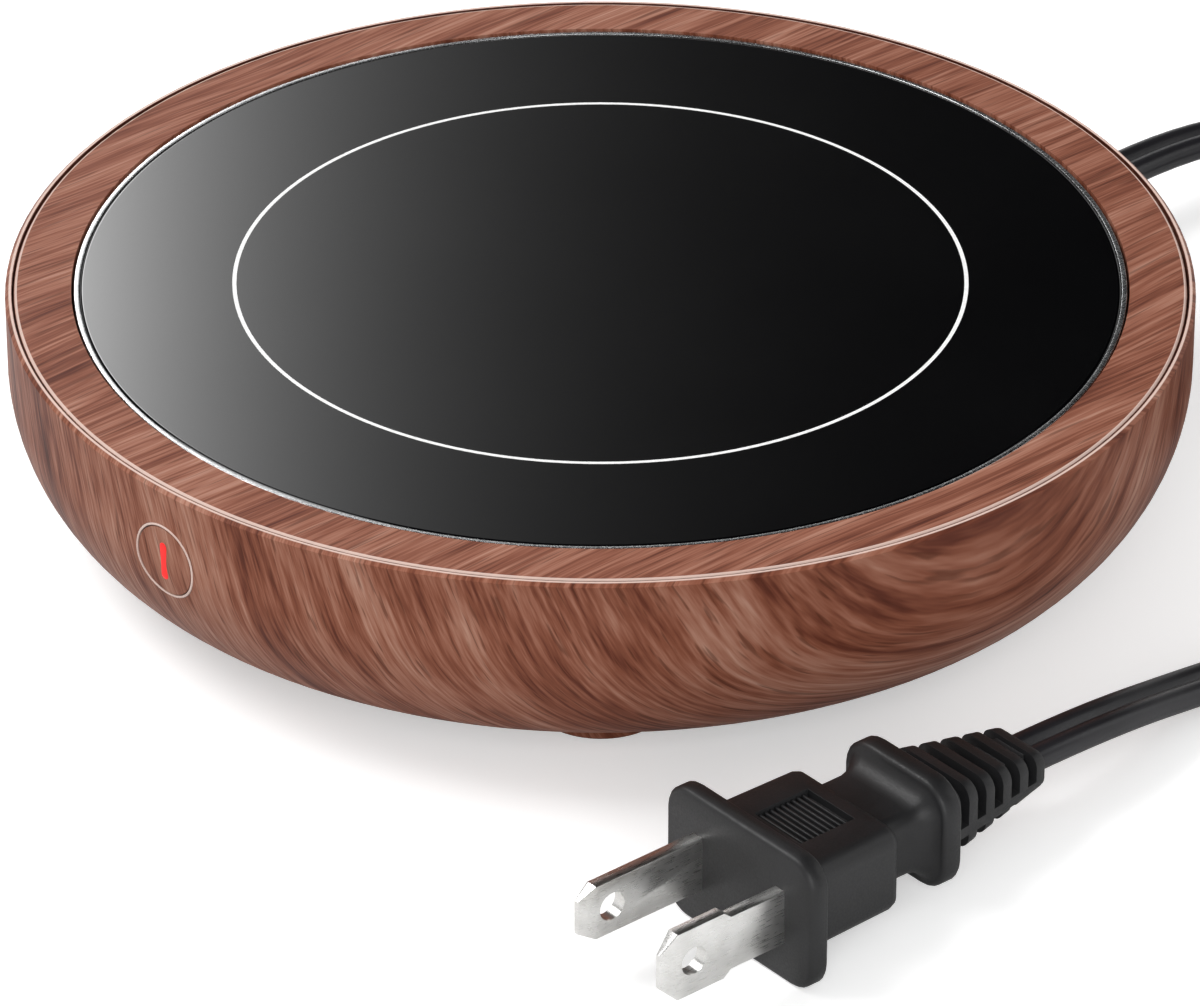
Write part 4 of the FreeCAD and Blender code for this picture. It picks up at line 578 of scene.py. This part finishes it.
def roundedOutline(width, height, corner, count=6):
    # a rectangle about the middle, with this many steps round each corner
    spots = []
    for sx, sz, start in ((1, 1, 0), (-1, 1, 90), (-1, -1, 180), (1, -1, 270)):
        for k in range(count + 1):
            a = math.radians(start + 90 * k / count)
            spots.append((sx * (width / 2 - corner) + corner * math.cos(a),
                          sz * (height / 2 - corner) + corner * math.sin(a)))
    return spots


def blockMesh(outline, y0, y1):
    # a flat outline of (x, z) drawn out along Y
    count = len(outline)
    verts = [(x, y, z) for y in (y0, y1) for x, z in outline]
    faces = [(k, (k + 1) % count, count + (k + 1) % count, count + k) for k in range(count)]
    return verts, faces + [tuple(range(count)), tuple(range(2 * count - 1, count - 1, -1))]


def gathered(blocks):
    # several meshes as one list of points and faces
    verts, faces = [], []
    for v, f in blocks:
        faces += [tuple(i + len(verts) for i in face) for face in f]
        verts += v
    return verts, faces


# mains cord

mainsCord = {
    "width": 5.6, "thick": 2.8, "length": 1.235,
    "lobe": 14, "wrap": 128,         # points round each lobe, and how far they go either way in degrees
    "groove": 0.62,                  # half the height left between the lobes
    # straight out of the strain relief, down to the table and behind the warmer
    "exitRoute": [(0, 83.4, 7.604), (0, 96, 7.604), (5.1, 111.7, 6.2), (14.8, 125, 4.6), (28.1, 134.7, 3.1),
                  (43.8, 139.8, 2.15), (54, 139.8, 2.15)],
    # off the coil, down and forward past the right of the warmer to the plug
    "plugRoute": [(100.5, 86.0, 5.55), (100.5, 77.0, 5.5), (95.2, 62.5, 3.2), (85.8, 46.5, 1.7),
                  (78.8, 30, 1.5), (76.4, 12.5, 3.2), (78.10, -5.80, 7.7), (77.15, -16.3, 7.7)],
    # the put-away length: half turns of (side, radius, middle Y, height at start, height at end)
    "coilX": 62.0,
    "stepTurn": 30, "lastSteps": 3,      # degrees between points, and points in the last half turn
    "turns": [(1, 38.5, 101.3, 2.15, 2.15), (-1, 35.35, 98.15, 2.15, 2.15), (1, 32.2, 101.3, 2.15, 2.15),
              (-1, 29.05, 98.15, 2.15, 2.15), (1, 25.9, 101.3, 2.15, 2.15), (-1, 22.75, 98.15, 2.15, 5.55),
              (1, 25.9, 95.0, 5.55, 5.55), (-1, 29.05, 98.15, 5.55, 5.55), (1, 32.2, 95.0, 5.55, 5.55),
              (-1, 35.35, 98.15, 5.55, 5.55), (1, 38.5, 95.0, 5.55, 5.55)],
}


def cordSpots(s):
    # control points from the bowl to the plug, in metres
    spots = list(s["exitRoute"])
    for k, (side, radius, middle, low, high) in enumerate(s["turns"]):
        wide = radius / math.cos(math.radians(s["stepTurn"] / 2))
        for step in range(s["lastSteps"] if k == len(s["turns"]) - 1 else 180 // s["stepTurn"]):
            turned = s["stepTurn"] * (step + 0.5)
            a = math.radians(turned)
            spots.append((s["coilX"] + side * wide * math.sin(a), middle + side * wide * math.cos(a),
                          low + (high - low) * turned / 180))
    return [Vector(p) * mm for p in spots + s["plugRoute"]]


def cordLine(spots):
    # the smooth line that the control points draw, as a list of points
    curve = bpy.data.curves.new("cordLine", "CURVE")
    curve.dimensions = "3D"
    spline = curve.splines.new("NURBS")
    spline.points.add(len(spots) - 1)
    for point, spot in zip(spline.points, spots):
        point.co = (*spot, 1.0)
    spline.order_u = 3
    spline.use_endpoint_u = True
    spline.resolution_u = 7
    holder = bpy.data.objects.new("cordLine", curve)
    drawn = bpy.data.meshes.new_from_object(holder)
    line = [v.co.copy() for v in drawn.vertices]
    bpy.data.objects.remove(holder)
    return [p for k, p in enumerate(line) if k == 0 or (p - line[k - 1]).length > 1e-6]


def lobedSection(s):
    # two round cores side by side with a groove between
    r, count = s["thick"] / 2, s["lobe"]
    off = s["width"] / 2 - r
    right = [(off + r * math.cos(math.radians(a)), r * math.sin(math.radians(a)))
             for a in [-s["wrap"] + 2 * s["wrap"] * k / (count - 1) for k in range(count)]]
    left = [(-x, -z) for x, z in right]
    return right + [(0, s["groove"])] + left + [(0, -s["groove"])]


def sweepCord(name, line, section, finish, body):
    sections = []
    for k, spot in enumerate(line):
        heading = (line[min(k + 1, len(line) - 1)] - line[max(k - 1, 0)]).normalized()
        side = heading.cross(Vector((0, 0, 1))).normalized()
        up = side.cross(heading)
        sections.append([spot + (side * x + up * z) * mm for x, z in section])
    verts, faces = loftMesh(sections)
    return addPiece(name, verts, faces, finish, body, 50)


line = cordLine(cordSpots(mainsCord))
cord = sweepCord("mainsCord", line, lobedSection(mainsCord), "cord_pvc", "housing")
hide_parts("cord_exit_span", "cord_coil", "cord_plug_span")
print("cord length", round(sum((b - a).length for a, b in zip(line, line[1:])), 4))

# plug

plugMould = {
    "place": (73.7, -54.2, 7.7), "turn": -5.2,
    # each form along the plug: distance from the front, width, height, corner
    "frontFlange": [(0.0, 21.6, 14.3, 2.7), (0.12, 22.2, 14.9, 3.0), (0.45, 22.7, 15.4, 3.2),
                    (1.95, 22.7, 15.4, 3.2), (2.28, 22.2, 14.9, 3.0), (2.4, 21.6, 14.3, 2.7)],
    "grip": [(2.4, 17.1, 10.0, 1.8), (13.6, 16.5, 10.0, 1.8), (14.3, 16.1, 9.6, 1.7),
             (14.6, 15.3, 8.8, 1.5)],
    "neck": [(14.6, 11.4, 7.6, 1.6), (18.4, 11.4, 7.6, 1.6), (19.4, 11.8, 8.0, 1.7), (20.2, 12.6, 8.9, 2.0),
             (21.0, 14.2, 10.8, 2.6)],
    "rearFlange": [(21.05, 14.6, 11.7, 3.1), (21.17, 15.2, 12.3, 3.4), (21.45, 15.6, 12.7, 3.6),
                   (23.15, 15.6, 12.7, 3.6), (23.45, 15.2, 12.3, 3.4), (23.6, 14.6, 11.7, 3.1)],
    "sleeve": [(23.6, 12.2, 8.6, 1.9), (30.0, 10.4, 6.7, 1.7), (38.0, 8.07, 4.38, 1.4),
               (38.45, 7.8, 4.1, 1.3), (38.6, 7.3, 3.6, 1.1)],
    "slots": 5, "slotWidth": 1.35, "slotPitch": 2.7, "slotStart": 24.95,
    "slotFloor": -0.6, "slotUnder": -1.8,      # where the slots end at the sides, and start below
    "rail": 2.6, "railTop": 1.75, "railEase": 0.12,      # the core they leave: half width, top, narrowing
    "beyond": 12.0,                            # how far a slot's cut runs past the sleeve
    "recess": (5.2, 12.4, 7.2, 0.9),      # from, to, width and depth of the finger recess
    "ribs": 9, "ribWidth": 0.36, "ribHeight": 0.55, "ribCrown": 0.55, "ribSunk": 0.1,
    "eased": 0.14, "ribEased": 0.05,      # width of the softened edges
}


def plugMesh(s):
    sections = []
    for part in ("frontFlange", "grip", "neck", "rearFlange", "sleeve"):
        for y, width, height, corner in s[part]:
            sections.append([(x, y, z) for x, z in roundedOutline(width, height, corner)])
    return loftMesh(sections)


def plugCuts(s):
    # the sleeve's slots, above and below, and the finger recess on both faces of the grip
    blocks = []
    far, floor, top, under = s["beyond"], s["slotFloor"], s["railTop"], s["slotUnder"]
    for k in range(s["slots"]):
        y0 = s["slotStart"] + s["slotPitch"] * k
        y1 = y0 + s["slotWidth"]
        rail = s["rail"] - s["railEase"] * k
        blocks.append(blockMesh([(-far, floor), (-rail, floor), (-rail, top), (rail, top), (rail, floor),
                                 (far, floor), (far, far), (-far, far)], y0, y1))
        blocks.append(blockMesh([(-far, -far), (far, -far), (far, under), (-far, under)], y0, y1))
    y0, y1, width, deep = s["recess"]
    half, face = width / 2, s["grip"][0][2] / 2
    for side in (1, -1):
        low, high = sorted((side * (face - deep), side * (face + 1)))
        blocks.append(blockMesh([(-half, low), (half, low), (half, high), (-half, high)], y0, y1))
    return gathered(blocks)


def ribMesh(s):
    # finger ribs in the recess, each let a little into its floor and ends
    y0, y1, width, deep = s["recess"]
    step = (y1 - y0) / (s["ribs"] + 1)
    floor = s["grip"][0][2] / 2 - deep
    half, sunk = s["ribWidth"] / 2, s["ribSunk"]
    crown = half * s["ribCrown"]
    blocks = []
    for side in (1, -1):
        base, top = side * (floor - sunk), side * (floor + s["ribHeight"])
        shoulder = side * (floor + s["ribHeight"] - sunk)
        for k in range(s["ribs"]):
            y = y0 + step * (k + 1)
            section = [(y - half, base), (y + half, base), (y + half, shoulder), (y + crown, top),
                       (y - crown, top), (y - half, shoulder)]
            verts = [(x, yy, z) for x in (-width / 2 - sunk, width / 2 + sunk) for yy, z in section]
            faces = [(i, (i + 1) % 6, 6 + (i + 1) % 6, 6 + i) for i in range(6)]
            blocks.append((verts, faces + [tuple(range(6)), tuple(range(11, 5, -1))]))
    return gathered(blocks)


def intoPlace(thing, s):
    # from the plug's own axes to the frame
    turn = Matrix.Translation(Vector(s["place"]) * mm) @ Matrix.Rotation(math.radians(s["turn"]), 4, "Z")
    thing.data.transform(turn @ Matrix.Scale(mm, 4))
    thing.data.update()


plugBody = addPiece("plugMoulding", *plugMesh(plugMould), "plug_pvc", "housing", 28)
cutAway(plugBody, *plugCuts(plugMould), 28)
ribs = addPiece("plugRibs", *ribMesh(plugMould), "plug_pvc", "housing", 28)
for thing, width in ((plugBody, plugMould["eased"]), (ribs, plugMould["ribEased"])):
    softened = thing.modifiers.new("softened", "BEVEL")
    softened.width, softened.segments, softened.limit_method = width, 2, "ANGLE"
    softened.angle_limit = math.radians(40)
    applied(thing, 40)
    intoPlace(thing, plugMould)
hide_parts("plug_body")

plugPins = {
    "spread": 12.7, "corner": 0.13,
    "narrow": [(6, 1.5, 6.35), (-14, 1.5, 6.35), (-16, 0.6, 3.95)],      # distance out, thickness, height
    "wide": [(6, 1.5, 6.35), (-7, 1.5, 6.35), (-7.94, 1.5, 7.9), (-14, 1.5, 7.9), (-16, 0.6, 3.95)],
    "hole": 1.6, "holePlace": -11.9, "holeSteps": 40,
}

pins = {}
for side, form in ((-1, "narrow"), (1, "wide")):
    x0 = side * plugPins["spread"] / 2
    sections = [[(x0 + x, y, z) for x, z in roundedOutline(thick, tall, plugPins["corner"], 2)]
                for y, thick, tall in plugPins[form]]
    pins[form] = addPiece("plugPin" + form.capitalize(), *loftMesh(sections), "plug_brass", "housing", 30)
    turns = [2 * math.pi * k / plugPins["holeSteps"] for k in range(plugPins["holeSteps"])]
    ring = [(plugPins["hole"] * math.cos(a), plugPins["hole"] * math.sin(a)) for a in turns]
    sides = [[(x0 + x, plugPins["holePlace"] + y, z) for y, z in ring] for x in (-3, 3)]
    cutAway(pins[form], *loftMesh(sides), 30)
    intoPlace(pins[form], plugMould)
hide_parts("plug_blades")
print("plug made")

# glass print

printedRing = {"radius": 40.0, "width": 0.45, "top": 27.75, "proud": 0.012, "sunk": 0.02, "steps": 256}


def ringPrint(s):
    near, far = s["radius"] - s["width"] / 2, s["radius"] + s["width"] / 2
    low, high = s["top"] - s["sunk"], s["top"] + s["proud"]
    sections = []
    for k in range(s["steps"]):
        a = 2 * math.pi * k / s["steps"]
        sections.append([Vector((r * math.cos(a), r * math.sin(a), z)) * mm
                         for r, z in ((near, low), (far, low), (far, high), (near, high))])
    return loftMesh(sections, closed=True)


printed = addPiece("printedRing", *ringPrint(printedRing), "ring_ink", "plate")


def arcSpots(x, z, radius, start, end, count):
    turns = [math.radians(start + (end - start) * k / count) for k in range(count + 1)]
    return [(x + radius * math.cos(a), z + radius * math.sin(a)) for a in turns]


def turnedMesh(profile, steps=288, middle=(0, 0)):
    # a profile of (radius, height) in mm turned about an upright line; open ones end on that line
    verts, rings = [], []
    for radius, height in profile:
        turns = [2 * math.pi * k / steps for k in range(1 if radius < 1e-6 else steps)]
        rings.append([len(verts) + k for k in range(len(turns))])
        verts += [Vector((middle[0] + radius * math.cos(a), middle[1] + radius * math.sin(a), height)) * mm
                  for a in turns]
    return verts, joinRings(rings, closed=profile[0][0] > 1e-6)


# heating plate: the glass and the pan's rolled rim

glassTop = {
    "radius": 56.94, "low": 24.75, "top": 27.75,
    "ease": 0.32, "lip": 0.1,      # the rounding above, and the small bevel below
    "flat": 2.0,                   # rings this far in keep the mirror face level up to its edge
}
g = glassTop
glass = addPiece("glassTop", *turnedMesh(
    [(0, g["low"]), (g["radius"] - g["lip"], g["low"]), (g["radius"], g["low"] + g["lip"])]
    + arcSpots(g["radius"] - g["ease"], g["top"] - g["ease"], g["ease"], 0, 90, 5)
    + [(g["radius"] - g["ease"] - g["lip"], g["top"]), (g["radius"] - g["flat"], g["top"]), (0, g["top"])]),
    "black_glass", "plate")
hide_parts("glass_plate")

panRim = {"inner": 56.95, "outer": 57.52, "low": 27.0, "top": 27.79, "roll": 0.06}
g = panRim
rim = addPiece("panRim", *turnedMesh(
    [(g["inner"], g["low"])] + arcSpots(g["inner"] + g["roll"], g["top"] - g["roll"], g["roll"], 180, 90, 4)
    + arcSpots(g["outer"] - g["roll"], g["top"] - g["roll"], g["roll"], 90, 0, 4)
    + [(g["outer"], g["low"])]),
    "aluminium_pan", "plate")

# feet

woodFeet = {
    "circle": 44.0, "turns": (45, 135, 225, 315),      # where they stand, in mm and degrees
    "radius": 7.6, "stem": 5.4, "low": 0.5, "seat": 3.72, "top": 4.35, "round": 0.5,
    "steps": 72,
}
g = woodFeet
profile = ([(0, g["low"])] + arcSpots(g["radius"] - g["round"], g["low"] + g["round"], g["round"], -90, 0, 6)
           + [(g["radius"], g["seat"]), (g["stem"], g["seat"]), (g["stem"], g["top"]), (0, g["top"])])
stands = [(g["circle"] * math.cos(math.radians(a)), g["circle"] * math.sin(math.radians(a))) for a in g["turns"]]
feet = addPiece("woodFeet", *gathered([turnedMesh(profile, g["steps"], spot) for spot in stands]),
                "foot_wood", "housing")
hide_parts("feet")

# power button: trim ring, pale with painted highlight, and light bar, both lying on the bowl's side

powerButton = {
    "level": 19.3, "side": 65.0, "sideLow": 19.75, "arc": 18.0,
    "ring": (4.13, 4.38), "ringProud": 0.07, "ringDeep": 0.5, "ringEase": 0.05,
    "bar": (1.0, 4.5), "barSteps": 8,
    "barForm": [(0, -0.5), (0, 0.01), (0.05, 0.05), (0.25, 0.06), (0.42, 0.07)],      # in from the edge, proud
}


def onSide(s, x, z, proud):
    # a spot on the bowl's front: upright above, curving in below
    radius = s["side"] + proud
    if z < s["sideLow"]:
        drop = s["sideLow"] - z
        radius = s["side"] - s["arc"] + math.sqrt((s["arc"] + proud) ** 2 - drop ** 2)
    return Vector((x, -math.sqrt(radius ** 2 - x ** 2), z)) * mm


def trimRing(s, steps=96):
    near, far = s["ring"]
    deep, proud, ease = -s["ringDeep"], s["ringProud"], s["ringEase"]
    form = [(near, deep), (near, proud - ease), (near + ease, proud), (far - ease, proud),
            (far, proud - ease), (far, deep)]
    sections = []
    for k in range(steps):
        a = 2 * math.pi * k / steps
        sections.append([onSide(s, r * math.cos(a), s["level"] + r * math.sin(a), out) for r, out in form])
    return loftMesh(sections, closed=True)


def lightBar(s):
    width, tall = s["bar"]
    sections = []
    for inset, proud in s["barForm"]:
        wide, high = width - 2 * inset, tall - 2 * inset
        outline = roundedOutline(wide, high, wide / 2 - 0.001, s["barSteps"])
        sections.append([onSide(s, x, s["level"] + z, proud) for x, z in outline])
    return loftMesh(sections)


trim = addPiece("buttonTrim", *trimRing(powerButton), "button_ring_print", "housing")
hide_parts("button_ring")
bar = addPiece("lightBar", *lightBar(powerButton), "lamp_red", "button")
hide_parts("light_bar")
print("plate, feet and button made")
